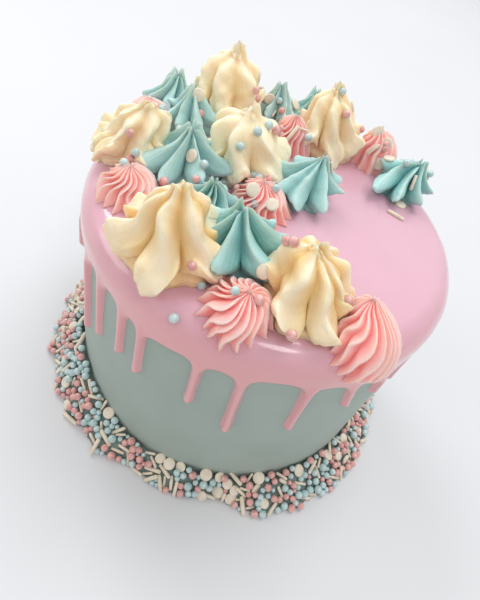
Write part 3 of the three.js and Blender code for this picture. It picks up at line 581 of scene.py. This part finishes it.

# name, x, y, radius, height, how far the tip leans along x and y, spike drawn out of the tip, how
# much the body swells above the lip, and how much painted light it gets: a paler colour mixed in
DOLLOPS = [
    ["teal_front", -5, -45, 16.5, 21.5, -6, 2, 0, 0.3, 0],
    ["teal_left_mid", -43, -6, 19, 20, 0, 1, 0, 0.12, 0.4],
    ["cream_front_left", -30.5, -56, 18.5, 32, 1, -2, 0, 0, 0],
    ["cream_front_right", 21.5, -55, 19, 26, -6, 1, 0, 0.12, 0],
    ["cream_mid", -22, 12, 19.5, 28, -3, -1, 0, 0.25, 0.6],
    ["cream_back", -42, 49, 18.5, 33, -1, 1, 4.5, 0.3, 0.35],
    ["cream_left", -67, -5, 17.5, 25, 6, -2, 0, 0.1, 0.5],
    ["cream_right_back", 11, 57, 16.5, 30, -5, 1, 3.5, 0.15, 0.3],
    ["teal_right_mid", 7, 9, 15, 17, 3, 6, 0, 0.35, 0.2],
    ["teal_right", 51, 45, 15.5, 17, 5, 0, 0, 0.15, 0],
    ["teal_back_inner", -52, 29, 13.5, 19, -2, 0, 0, 0.15, 0.4],
    ["teal_back_left", -68, 40, 12.5, 18, 3, 0, 0, 0, 0.45],
    ["teal_back", -18, 63, 12.5, 20, -2, 0, 0, 0, 0.5],
    ["teal_far", -2, 75, 12, 18, -1, 0, 0, 0, 0.4],
    ["teal_low", -26, -25, 13, 14, 0, 0, 0, 0, 0],
    ["pink_front", -1, -69, 14, 11, 2, 0, 0, 0, 0],
    ["pink_front_right", 45, -63.5, 13.5, 14, -4, 9, 0, 0, 0],
    ["pink_left", -56, -32, 13, 12.5, -1, 1, 0, 0, 0.3],
    ["pink_mid", -8, -10, 13.5, 12, -1, 1, 0, 0, 0],
    ["pink_mid_back", -6.5, 46, 12, 16, -1, 1, 0, 0, 0.2],
    ["pink_right", 37, 61, 12, 18, -3, 0, 2, 0, 0.1],
    ["pink_left_back", -71, 23, 11, 11, 0, 0, 0, 0, 0.5],
]
# The folds that show: azimuth at the crown and at the lip, reach, height of the lip, and depth of
# the valley after it
FOLDS = {
    "cream_front_left": [
        [42, 46, 1.1, 0.44, 0.9], [108, 112, 1, 0.42, 0.9], [158, 165, 1.05, 0.47, 0.6],
        [203, 207, 1.15, 0.41, 1.05], [252, 270, 1.15, 0.3, 1], [324, 338, 1.12, 0.32, 0.9],
    ],
    "cream_front_right": [
        [60, 52, 0.98, 0.42, 0.8], [112, 104, 1.08, 0.46, 0.8], [165, 172, 1.04, 0.45, 1],
        [270, 243, 1.1, 0.34, 0.95], [303, 305, 1.1, 0.25, 0.7], [336, 345, 0.82, 0.5, 0.9],
        [375, 372, 0.9, 0.36, 0.9],
    ],
    "cream_mid": [
        [45, 42, 1.12, 0.44, 0.8], [105, 105, 1, 0.45, 0.8], [160, 158, 1.02, 0.45, 0.9],
        [212, 207, 1.05, 0.42, 0.85], [262, 262, 0.95, 0.34, 0.95], [325, 335, 1.05, 0.32, 0.9],
    ],
    "cream_back": [
        [42, 42, 1.06, 0.44, 0.8], [100, 98, 1, 0.45, 0.8], [150, 155, 1, 0.45, 0.9],
        [205, 212, 1.05, 0.4, 0.85], [258, 268, 1, 0.33, 1], [318, 326, 1, 0.35, 0.9],
    ],
    "cream_left": [
        [44, 50, 0.9, 0.5, 0.8], [110, 105, 1, 0.45, 0.9], [172, 170, 0.95, 0.52, 0.8],
        [215, 222, 1.05, 0.42, 0.7], [250, 250, 1.15, 0.36, 0.9], [318, 288, 1.12, 0.38, 1],
        [385, 360, 0.92, 0.4, 0.8],
    ],
    "cream_right_back": [
        [30, 30, 1.05, 0.44, 0.8], [80, 80, 1.05, 0.46, 0.8], [128, 128, 1, 0.45, 0.8],
        [178, 176, 0.98, 0.46, 0.9], [226, 222, 1.18, 0.42, 0.9], [280, 282, 1.08, 0.22, 0.85],
        [332, 336, 1.1, 0.4, 0.9],
    ],
    "teal_front": [
        [10, 24, 0.98, 0.47, 0.9], [55, 56, 0.95, 0.5, 0.9], [100, 100, 0.95, 0.5, 0.8],
        [151, 151, 0.95, 0.5, 1], [212, 211, 1.03, 0.46, 1], [250, 236, 1.1, 0.37, 0.85],
        [300, 318, 1.08, 0.34, 1.15],
    ],
    "teal_left_mid": [
        [-10, 16, 1.08, 0.4, 0.9], [50, 64, 0.95, 0.5, 0.8], [110, 110, 0.95, 0.5, 0.8],
        [165, 158, 0.9, 0.52, 1], [235, 227, 1.18, 0.4, 0.7], [262, 254, 1, 0.3, 1.1],
        [310, 304, 0.9, 0.42, 1.2],
    ],
    "teal_right_mid": [
        [30, 30, 1, 0.5, 0.9], [80, 80, 1.05, 0.5, 0.8], [125, 120, 1, 0.5, 0.9], [180, 170, 1.1, 0.5, 1],
        [230, 228, 1.12, 0.4, 0.25], [262, 260, 1.15, 0.3, 1.1], [312, 312, 1.12, 0.3, 1],
        [355, 352, 0.95, 0.45, 1],
    ],
    "teal_right": [
        [50, 50, 1.12, 0.42, 0.8], [100, 100, 0.9, 0.5, 0.8], [150, 140, 0.88, 0.52, 1],
        [200, 226, 1.42, 0.36, 1], [250, 262, 1.2, 0.28, 1], [300, 304, 1.08, 0.28, 0.9],
        [340, 346, 0.88, 0.4, 0.9],
    ],
    "pink_right": [
        [29, 2, 1.02, 0, 0.7], [60, 33, 1.05, 0, 0.65], [90, 62, 0.98, 0, 0.7], [118, 90, 1, 0, 0.7],
        [148, 121, 1.04, 0, 0.7], [180, 152, 0.97, 0, 0.65], [207, 180, 1.03, 0, 0.6],
        [234, 208, 1.06, 0, 0.65], [262, 237, 1.02, 0, 0.6], [291, 266, 1.05, 0, 0.65],
        [322, 297, 1, 0, 0.65], [354, 329, 1.03, 0, 0.7],
    ],
    "teal_back_inner": [
        [15, 14, 0.9, 0.42, 0.9], [60, 62, 1, 0.5, 0.8], [115, 112, 1, 0.5, 0.8], [170, 170, 1, 0.5, 0.9],
        [215, 224, 1.1, 0.48, 0.6], [245, 246, 0.95, 0.34, 1], [300, 298, 0.85, 0.38, 1.1],
    ],
}


def crest(kind, phase, petal, shallow):
    """How much of a fold is met: 1 on its crest, 0 in the valley. Petals are broad and round, and
    shallow valleys have no crease."""
    off = np.abs(phase - np.round(phase))
    smooth = np.hypot(2 * off, kind["blunt"]) - kind["blunt"]
    end = math.hypot(1, kind["blunt"]) - kind["blunt"]
    ridge = np.maximum(1 - smooth / end, 0) ** kind["sharpness"]
    top = ridge + (np.clip(np.cos(math.pi * off), 0, 1) ** PETAL_ROUNDNESS - ridge) * petal
    wave = 0.5 + 0.5 * np.cos(TAU * off)
    return np.clip(top + (wave - top) * shallow, 0, 1)


def over_rim(x, y, above):
    """Bends places above a flat top round the rounded rim and down the cake's side."""
    radius = np.hypot(x, y)
    past = np.maximum(radius - TOP_RADIUS, 0)
    angle = np.minimum(past / GLAZE_OUTSIDE, math.pi / 2)
    down = past - angle * GLAZE_OUTSIDE
    reach = GLAZE_OUTSIDE + above
    flat = past <= 0
    share = np.where(flat, 1, (TOP_RADIUS + reach * np.sin(angle)) / np.maximum(radius, 1e-6))
    height = np.where(flat, GLAZE_TOP + above, SIDE_HEIGHT + reach * np.cos(angle) - down)
    return np.stack([x * share, y * share, height], -1)


def varied(seed, habit, k):
    """A repeatable number for fold k of a dollop."""
    series, low, high = VARIED[habit]
    return spread(seed + series, k, low, high)


def fold_table(name, kind, seed):
    """A dollop's folds: the ones that show, or else evenly spread ones moved a little."""
    if name in FOLDS:
        return np.array(FOLDS[name], float)
    k = np.arange(kind["folds"])
    step = 360 / kind["folds"]
    lip = (k + kind["spacing"] * varied(seed, "lip", k) + chance(seed, START_ITEM)) * step
    reach = 1 + kind["uneven"] * varied(seed, "reach", k)
    height = kind["lip"] + LIP_UNEVEN * varied(seed, "height", k)
    depth = np.clip(np.diff(np.append(lip, lip[0] + 360)) / kind["gap"], *DEPTH_RANGE)
    return np.stack([lip + math.degrees(kind["twist"]), lip, reach, height, depth], -1)


def round_trip(values, turn, phase):
    """Reads values at a fold number that runs on from the last fold to the first, plus a turn."""
    return np.interp(phase, np.arange(len(values) + 1), np.append(values, values[0] + turn))


def eased(values, phase):
    """Reads values at a fold number, level at each fold so that no lobe ends in a point."""
    share = phase - np.floor(phase)
    return round_trip(values, 0, np.floor(phase) + share * share * (3 - 2 * share))


def swung(folds, usual_gap, phase, swing):
    """Azimuths of a skin in degrees, swung from those at the crown to those at the lip, and the
    depths of its valleys, which are shallow where they are narrow."""
    valley = np.floor(phase).astype(int) % len(folds)
    azimuths = folds[:, :2].T
    crown_turn, lip_turn = (round_trip(a, 360, phase) for a in azimuths)
    crown_gap, lip_gap = (np.diff(np.append(a, a[0] + 360))[valley] for a in azimuths)
    gap = crown_gap + (lip_gap - crown_gap) * swing
    depth = folds[:, 4][valley] * np.clip(gap / (FULL_GAP * usual_gap), 0, 1)
    return crown_turn + (lip_turn - crown_turn) * swing, depth


def stood(dollop, upright, radius, turn, height, share):
    """Puts a skin on the cake: leaned, and bent over the rim where it reaches past it."""
    _, x0, y0, _, _, lean_x, lean_y, *_ = dollop
    x = x0 + lean_x * share**LEAN_POWER + radius * np.cos(turn)
    y = y0 + lean_y * share**LEAN_POWER + radius * np.sin(turn)
    bent = over_rim(x, y, height)
    straight = np.stack([x, y, GLAZE_TOP + height], -1)
    return bent + (straight - bent) * (upright * np.minimum(share / UPRIGHT_FROM, 1))[..., None]


def roughened(points, middle, kind, seed, thin, layers):
    """A skin with dents, grain, ragged thin parts and the layers of its foot."""
    away = points - middle
    away /= np.linalg.norm(away, axis=-1, keepdims=True)
    rough = ripple(points, seed, DENT_MM, kind["dents"])
    rough = rough + ripple(points, seed + 1, GRAIN_MM, GRAIN_HEIGHT)
    rough = rough + ripple(points, seed + 2, RAGGED_MM, kind["ragged"]) * thin
    return points + away * (rough + kind["layers"] * layers)[..., None]


def skin(dollop, seed):
    """Points of a dollop's skin in rows from the foot up, with its fold and low values."""
    name, x0, y0, size, tall, *_, dome, _ = dollop
    kind = KINDS[name.split("_")[0]]
    folds = fold_table(name, kind, seed)
    count = len(folds)
    rows = smooth_rows(kind["rows"], ROW_STEPS)
    crest_radius, crest_height, valley_radius, valley_height, lip, crown = rows.T[:, :, None]
    phase = (np.arange(count * kind["samples"]) / kind["samples"])[None, :] + 0 * lip
    group = np.cumsum(np.append(True, folds[:-1, 4] > JOINED_DEPTH))
    near = group[np.round(phase).astype(int) % count]
    valley = np.floor(phase).astype(int) % count
    swing = np.clip((CROWN_FROM - crest_height) / (CROWN_FROM - LIP_FROM), 0, 1)
    azimuth, depth = swung(folds, kind["gap"], phase, swing * swing * (3 - 2 * swing))
    shallow = np.clip(1 - depth / SHALLOW_DEPTH, 0, 1)
    top = crest(kind, phase, kind["petal"] * lip, shallow)
    turn = np.radians(azimuth) + kind["hook"] * lip * top * varied(seed, "hook", near)
    turn = turn + kind["wander"] * top * np.sin(TAU * (crest_height + varied(seed, "wander", near)))

    depth = depth * (1 + kind["uneven"] * varied(seed, "depth", valley))
    reach = 1 + (eased(folds[:, 2], phase) - 1) * (BODY_REACH + (1 - BODY_REACH) * lip)
    dip = (1 - top) * depth
    swell = 1 + dome * np.sin(math.pi * np.clip((crest_height - DOME_FROM) / (1 - DOME_FROM), 0, 1))
    radius = size * reach * swell * (crest_radius + (valley_radius - crest_radius) * dip)
    height = crest_height + (valley_height - crest_height) * dip
    height = height + lip * (eased(folds[:, 3], phase) - kind["lip"])
    off = phase - np.round(phase)
    wave = np.sin(TAU * (RUFFLE_WAVES * off + varied(seed, "ruffle", near)))
    height = height + kind["ruffle"] * lip * wave * np.sqrt(top)
    height = height + kind["crown"] * crown * top * varied(seed, "crown", near)
    height = tall * np.where(crest_height > 0.01, np.maximum(height, 0), height)

    share = np.clip(crest_height, 0, 1)
    points = stood(dollop, kind["upright"], radius, turn, height, share)
    middle = np.array([x0, y0, GLAZE_TOP + tall * MIDDLE_HEIGHT])
    low = np.clip(1 - share / LOW_PART, 0, 1) + 0 * top
    layers = low * np.sin(height * LAYER_PITCH + ripple(points, seed + 3, LAYER_MM, 2))
    return roughened(points, middle, kind, seed, (lip + crown) * top, layers), top, low


def dollop_piece(dollop, seed, materials):
    name, *_, spike, _, pale = dollop
    family = name.split("_")[0]
    grid, top, low = skin(dollop, seed)
    tip = grid[-1].mean(0) + (0, 0, TIP_HEIGHT + spike)
    points, faces = closed(grid, grid[0].mean(0), tip)
    rows, columns = top.shape
    streaks = np.tile(np.arange(columns) / STREAK_COLUMNS, rows)
    values = {"fold": np.append(top, [0, 1]), "low": np.append(low, [1, 0]),
              "pale": np.full(len(points), pale), "streak": np.append(streaks, [0, 0])}
    make_piece(f"{name}_piped", points, faces, materials[family], [name], values)
    return points, faces


def bake_dollops():
    # Colours of each kind: valley (painted shade), panel, crest (painted highlight), foot, and the paler
    # colour mixed in as painted light
    materials = {
        "cream": piped_material("cream_piping", "#e9c37e", "#f2dbae", "#f6e9cd", "#efcfa4", "#fef3d8"),
        "teal": piped_material("teal_piping", "#5c9c9a", "#88bebc", "#b4dad8", "#7db3b1", "#c8e8e7"),
        "pink": piped_material("pink_piping", "#fb9591", "#ffb4af", "#ffd7d1", "#fdb3ae", "#ffe0dc"),
    }
    return [dollop_piece(dollop, i + 1, materials) for i, dollop in enumerate(DOLLOPS)]


# Sprinkles: unit shapes in millimetres with their thin side along z
PEARL_RADIUS = 2.0
DISC_EDGE = [(3.15, 0), (3.0, 0.5), (2.5, 0.75), (0, 0.75)]  # half outlines as (radius, height)
ROD_EDGE = [(0.97, 0), (0.92, 3.6), (0.6, 4.05), (0, 4.2)]
HALF_THICKNESS = {"pearl": PEARL_RADIUS, "disc": DISC_EDGE[-1][1], "rod": ROD_EDGE[0][0]}
SIDEWAYS = [0.3, 0.9, 0.2]  # a direction that no sprinkle's thin side has


def turned(profile, sides):
    """A closed round body from (radius, height) pairs that start and end on the axis."""
    foot, tip = [(0, 0, profile[end][1]) for end in (0, -1)]
    return closed(round_rows(profile[1:-1], sides), foot, tip)


def pearl_shape(sides=14, rings=8):
    angles = np.linspace(-math.pi / 2, math.pi / 2, rings + 1)
    return turned([(PEARL_RADIUS * math.cos(a), PEARL_RADIUS * math.sin(a)) for a in angles], sides)


def mirrored(edge):
    return [(r, -z) for r, z in edge[:0:-1]] + edge


def rod_shape():
    points, faces = turned(mirrored(ROD_EDGE), 10)
    return points[:, [0, 2, 1]], [f[::-1] for f in faces]


SHAPES = {"pearl": pearl_shape(), "disc": turned(mirrored(DISC_EDGE), 20), "rod": rod_shape()}


def facing(normal, spin):
    """Rows are the axes of a sprinkle that lies with its thin side along a normal."""
    z = np.asarray(normal, float) / np.linalg.norm(normal)
    x = np.cross(SIDEWAYS, z)
    x /= np.linalg.norm(x)
    y = np.cross(z, x)
    c, s = math.cos(spin), math.sin(spin)
    return np.array([x * c + y * s, y * c - x * s, z])


def laid(normal, degrees):
    """Axes of a rod that lies on a face with its length at an angle in the picture."""
    right, up, _ = camera_axes()
    z = np.asarray(normal, float)
    turn = math.radians(degrees)
    y = np.array(right) * math.cos(turn) + np.array(up) * math.sin(turn)
    y -= z * z.dot(y)
    y /= np.linalg.norm(y)
    return np.array([np.cross(y, z), y, z])


def joined(shape, places):
    """One mesh of a shape at each of places, which are (centre, axes, scale)."""
    points, faces = SHAPES[shape]
    all_points = [centre + (points * scale) @ axes for centre, axes, scale in places]
    all_faces = [[i + n * len(points) for i in f] for n in range(len(places)) for f in faces]
    return np.vstack(all_points), all_faces


# Loose sprinkles on the dollops and the glaze, by the pixel of the photo where each one shows.
# A rod has the angle at which it lies in the picture and its scale after its pixel.
LOOSE = {
    "pearl_pink": [
        (129, 131), (132, 159), (201, 113), (255, 90), (256, 98), (264, 100), (282, 112), (281, 127),
        (281, 133), (274, 131), (347, 114), (364, 131), (386, 145), (385, 149), (163, 181), (197, 180),
        (267, 180), (239, 188), (193, 265), (224, 278), (287, 243), (295, 244), (347, 299), (290, 335),
        (259, 299),
    ],
    "pearl_blue": [
        (137, 154), (126, 163), (162, 109), (278, 100), (267, 126), (258, 133), (240, 146), (342, 91),
        (310, 138), (411, 160), (407, 164), (428, 174), (202, 165), (223, 184), (260, 177), (255, 175),
        (275, 189), (201, 287), (236, 291), (175, 318), (256, 205),
    ],
    "disc": [
        (260, 77), (270, 99), (295, 105), (378, 132), (387, 143), (389, 159), (379, 164), (400, 205),
        (192, 156), (251, 178), (253, 190), (264, 272), (198, 95), (272, 205),
    ],
    "rod": [
        (262, 87, 80, 0.7), (274, 113, 30, 0.6), (352, 107, -62, 0.6), (293, 134, 50, 1.05),
        (304, 130, -20, 0.6), (373, 149, 70, 0.9), (414, 183, 55, 0.9), (273, 182, -30, 0.6),
        (331, 168, -60, 0.7), (395, 216, -45, 1.05),
    ],
}
SUNK_SHARE = 0.25  # of a sprinkle's thickness that is pressed in
SIGHT_REACH = np.arange(100, 420, 1.0)  # millimetres from the camera
LOOSE_SPIN, LOOSE_SCALE = 205, 201  # random series
LOOSE_SCALES = (0.84, 1.02)


def landing(tree, pixel):
    """Where the sight line of a pixel meets the cake, or passes nearest to it."""
    line = sight_line(pixel)
    start = CAMERA_PLACE / MM
    place, normal, _, _ = tree.ray_cast(start, line)
    if place is None:
        tries = [tree.find_nearest(start + line * reach) for reach in SIGHT_REACH]
        place, normal, _, _ = min(tries, key=lambda hit: hit[3])
    if normal.dot(line) > 0:
        normal = -normal
    return np.array(place), np.array(normal)


def loose_pieces(tree, materials):
    for kind, pixels in LOOSE.items():
        shape = kind.split("_")[0]
        places = []
        for k, pixel in enumerate(pixels):
            place, normal = landing(tree, pixel)
            if kind == "rod":
                axes, scale = laid(normal, pixel[2]), pixel[3]
            else:
                axes = facing(normal, spread(LOOSE_SPIN, k, 0, math.pi))
                scale = spread(LOOSE_SCALE + len(kind), k, *LOOSE_SCALES)
            centre = place + normal * HALF_THICKNESS[shape] * scale * (1 - 2 * SUNK_SHARE)
            places.append((centre, axes, scale))
        points, faces = joined(shape, places)
        make_piece(f"loose_{kind}", points, faces, materials[kind])


# The band of sprinkles: reach out and rise up the side, as [azimuth, millimetres]
BAND_REACH = [
    [-180, 99], [-140, 101], [-105, 95], [-90, 97], [-76, 94], [-62, 104], [-45, 100], [-25, 102],
    [0, 96], [45, 101], [90, 97], [135, 102], [180, 99],
]
BAND_RISE = [
    [-180, 20], [-142, 26], [-125, 18], [-110, 12], [-90, 13], [-70, 13], [-45, 14], [0, 16], [50, 19],
    [100, 14], [150, 18], [180, 20],
]
BAND_COVER = 4.1  # how far the heaped sprinkles stand out of the slope under them
BAND_TOP_WIDTH = 1.2
BAND_BULGE = 0.8  # less than 1 makes the slope belly out
BAND_SEED = 12
OUTLINE_SEED, OUTLINE_MM = 9, 14
OUTLINE_UNEVEN = 1.6  # how far the heap's outline wanders in and out
CORE_TOP = 0.8  # share of the slope at which the core ends, under the topmost sprinkles
CORE_COLUMNS, CORE_ROWS = 240, 12
CORE_RIPPLE = (3, 6, 0.5)  # seed, length, height
CORE_OVERLAP = 1  # how far the core reaches into the icing


def band_place(azimuth, share):
    """A place on the band's slope, from its foot at share 0 to its top at 1."""
    turn = np.radians(azimuth)
    rim = np.stack([np.cos(turn), np.sin(turn), 0 * azimuth], -1) * CAKE_RADIUS
    uneven = OUTLINE_UNEVEN * ripple(rim, OUTLINE_SEED, OUTLINE_MM)
    reach = np.interp(azimuth, *np.array(BAND_REACH).T) - BAND_COVER + uneven
    rise = np.interp(azimuth, *np.array(BAND_RISE).T) - BAND_COVER
    inner = CAKE_RADIUS + BAND_TOP_WIDTH
    radius = inner + (reach - inner) * np.maximum(1 - share, 0) ** BAND_BULGE
    return np.stack([radius * np.cos(turn), radius * np.sin(turn), rise * share], -1)


# The core under the sprinkles is coloured dark as painted shade in the gaps between them.
def band_core(material):
    azimuth = np.linspace(-180, 180, CORE_COLUMNS, endpoint=False)
    shares = np.linspace(0, CORE_TOP, CORE_ROWS)
    points = np.array([band_place(azimuth, share) for share in shares])
    points = points + ripple(points, *CORE_RIPPLE)[..., None]
    points[..., 2] = np.maximum(points[..., 2], 0)
    points[0, :, 2] = 0
    inner = points[[-1, 0]].copy()
    turn = np.radians(azimuth)
    inner[..., 0] = (CAKE_RADIUS - CORE_OVERLAP) * np.cos(turn)
    inner[..., 1] = (CAKE_RADIUS - CORE_OVERLAP) * np.sin(turn)
    rings = np.concatenate([points, inner])
    rows, columns = rings.shape[:2]
    faces = grid_faces(rows, columns).tolist()
    last = (rows - 1) * columns
    faces += [[last + k, last + (k + 1) % columns, (k + 1) % columns, k] for k in range(columns)]
    points = rings.reshape(-1, 3)
    return make_piece("band_core", points, faces, material, ["sprinkle_band"])


# Small balls that stand for a packed sprinkle: x and y along its axes, and radius
BALLS = {
    "pearl": [(0, 0, PEARL_RADIUS)],
    "disc": [(0, 0, 0.9)] + [(2.2 * math.cos(a), 2.2 * math.sin(a), 0.9)
                             for a in np.arange(6) / 6 * TAU],
    "rod": [(0, y, 1.0) for y in (-3.4, -1.7, 0, 1.7, 3.4)],
}
# kind, tries, scale from and to, how far above the core it may lie, and how much it keeps to
# its own patches
BAND_MIX = [
    ("disc", 260, 0.8, 1, 2.2, 0.1), ("rod", 700, 0.8, 1.15, 2.2, 0),
    ("pearl_blue", 1300, 0.8, 1.05, 2.4, 0.1), ("pearl_pink", 1300, 0.8, 1.05, 2.4, 0.1),
    ("rod", 1200, 0.6, 1, 2.2, -2), ("pearl_blue", 5000, 0.7, 1, 2.2, -0.15),
    ("pearl_pink", 5000, 0.7, 1, 2.2, -0.9), ("pearl_blue", 5000, 0.55, 0.8, 1.8, -2),
    ("pearl_pink", 3000, 0.55, 0.75, 1.6, -2),
]
PATCH_SEEDS = {"disc": 91, "rod": 92, "pearl_pink": 93, "pearl_blue": 94}
PATCH_MM = 16
CELL = 5.0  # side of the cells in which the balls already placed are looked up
AROUND = [(x, y, z) for x in (-1, 0, 1) for y in (-1, 0, 1) for z in (-1, 0, 1)]
CROWDING = 0.86  # share of their size to which two balls may come together
HIGHEST_SHARE, SHARE_POWER = 1.06, 0.85  # how the throws are spread up the slope
TILT = 0.25  # how far the sprinkles lean from the slope
SLOPE_STEP = 0.1
RESTING, HEAPING, LEANING = 0.6, 0.5, 0.9  # how far off the slope, the heap and the cake
LOWEST_MM = 0.1  # above the floor


def ball_places(shape, centre, axes, scale):
    return [(*(centre + axes[0] * x * scale + axes[1] * y * scale), r * scale)
            for x, y, r in BALLS[shape]]


def cell_of(ball):
    return tuple(int(v // CELL) for v in ball[:3])


def crowded(cells, ball):
    """Whether a ball would press too far into one that is there."""
    i, j, k = cell_of(ball)
    for x, y, z in AROUND:
        for other in cells.get((i + x, j + y, k + z), ()):
            near = CROWDING * (ball[3] + other[3])
            if sum((a - b) ** 2 for a, b in zip(ball[:3], other[:3])) < near**2:
                return True
    return False


def thrown(rng, kind, small, large, lift, patch):
    """One more sprinkle on the slope as (centre, axes, scale), or None where its kind is rare."""
    shape = kind.split("_")[0]
    azimuth, share = rng.uniform(-180, 180), HIGHEST_SHARE * rng.uniform(0, 1) ** SHARE_POWER
    scale, spin, rise = rng.uniform(small, large), rng.uniform(0, TAU), rng.uniform(0, 1)
    tilt = rng.normal(size=3) * TILT
    place = band_place(azimuth, share)
    if ripple(place, PATCH_SEEDS[kind], PATCH_MM) < patch:
        return None
    above = band_place(azimuth, min(share + SLOPE_STEP, 1))
    below = band_place(azimuth, min(share, 1) - SLOPE_STEP)
    normal = np.cross([-place[1], place[0], 0], above - below)
    normal /= np.linalg.norm(normal)
    axes = facing(normal + tilt, spin)
    thick = HALF_THICKNESS[shape] * scale
    centre = place + normal * (thick * RESTING + rise * lift * HEAPING)
    centre[2] = max(centre[2], thick)
    out = math.hypot(centre[0], centre[1])
    nearest = CAKE_RADIUS + thick * LEANING
    if out < nearest:
        centre[:2] *= nearest / out
    lowest = min(b[2] - b[3] for b in ball_places(shape, centre, axes, scale))
    return centre + (0, 0, max(0, LOWEST_MM - lowest)), axes, scale


def band_sprinkles():
    """Seeded throwing of sprinkles onto the slope, keeping each one clear of the rest."""
    rng = np.random.default_rng(BAND_SEED)
    cells, places = {}, {kind: [] for kind in PATCH_SEEDS}
    for kind, tries, *how in BAND_MIX:
        for _ in range(tries):
            sprinkle = thrown(rng, kind, *how)
            if sprinkle is None:
                continue
            balls = ball_places(kind.split("_")[0], *sprinkle)
            if any(crowded(cells, ball) for ball in balls):
                continue
            for ball in balls:
                cells.setdefault(cell_of(ball), []).append(ball)
            places[kind].append(sprinkle)
    return places


def band_pieces(materials):
    for kind, places in band_sprinkles().items():
        points, faces = joined(kind.split("_")[0], places)
        make_piece(f"band_{kind}", points, faces, materials[kind])


# Build everything
def tree_of(parts):
    points, faces, count = [], [], 0
    for part_points, part_faces in parts:
        points.append(part_points)
        faces += [[i + count for i in f] for f in part_faces]
        count += len(part_points)
    return BVHTree.FromPolygons(np.vstack(points).tolist(), faces)


def mesh_of(piece):
    points = np.array([v.co for v in piece.data.vertices]) / MM
    return points, [list(p.vertices) for p in piece.data.polygons]


cake_piece()
glaze = glaze_piece()
dollops = bake_dollops()
sprinkle_materials = {
    "pearl_pink": pearl_material("pink_pearls", "#d09490", "#e6b4af"),
    "pearl_blue": pearl_material("blue_pearls", "#a8c6c8", "#c6d9da"),
    "disc": sugar_material("confetti", "#dfd4c2", "#ebe2d2"),
    "rod": sugar_material("rods", "#dccfbc", "#e9decd"),
}
loose_pieces(tree_of(dollops + [mesh_of(glaze)]), sprinkle_materials)
band_core(sugar_material("band_shadow", "#6a7f7b", "#82948f"))
band_pieces(sprinkle_materials)


# Stage: a pale floor and soft light
FLOOR_REACH = 6.0
LIGHT_TARGET = Vector((0, 0, 0.1))


def make_floor():
    mesh = bpy.data.meshes.new("floor")
    corners = [(x * FLOOR_REACH, y * FLOOR_REACH, 0) for x, y in ((-1, -1), (1, -1), (1, 1), (-1, 1))]
    mesh.from_pydata(corners, [], [(0, 1, 2, 3)])
    recipe = Recipe("pale_floor", roughness=0.6, subsurface=0, radius_mm=(1, 1, 1))
    recipe.colour(recipe.mottled(300, "#d3d5d9", "#d6d8dc"))
    mesh.materials.append(recipe.material)
    add_object("floor", mesh)


def make_light(name, place, size, power, colour):
    data = bpy.data.lights.new(name, "AREA")
    data.shape = "DISK"
    data.size = size
    data.energy = power
    data.color = colour
    light = add_object(name, data)
    light.location = place
    light.rotation_mode = "QUATERNION"
    light.rotation_quaternion = (light.location - LIGHT_TARGET).to_track_quat("Z", "Y")


def make_world():
    world = bpy.data.worlds.new("studio")
    world.use_nodes = True
    sky = world.node_tree.nodes["Background"].inputs
    sky["Color"].default_value = (1.0, 0.98, 0.95, 1)
    sky["Strength"].default_value = 0.7
    bpy.context.scene.world = world


make_floor()
make_world()
make_light("window", (-1.25, 1.4, 1.6), 1.0, 17, (0.96, 0.98, 1.0))
make_light("overhead", (0.35, 0.7, 1.9), 1.2, 16, (0.96, 0.98, 1.0))
make_light("front", (-2.2, -0.3, 1.3), 1.2, 8, (1.0, 0.98, 0.96))
make_light("strip", (0.45, -0.55, 1.3), 0.4, 2.5, (1.0, 0.98, 0.97))
bpy.context.scene.view_settings.view_transform = "Standard"
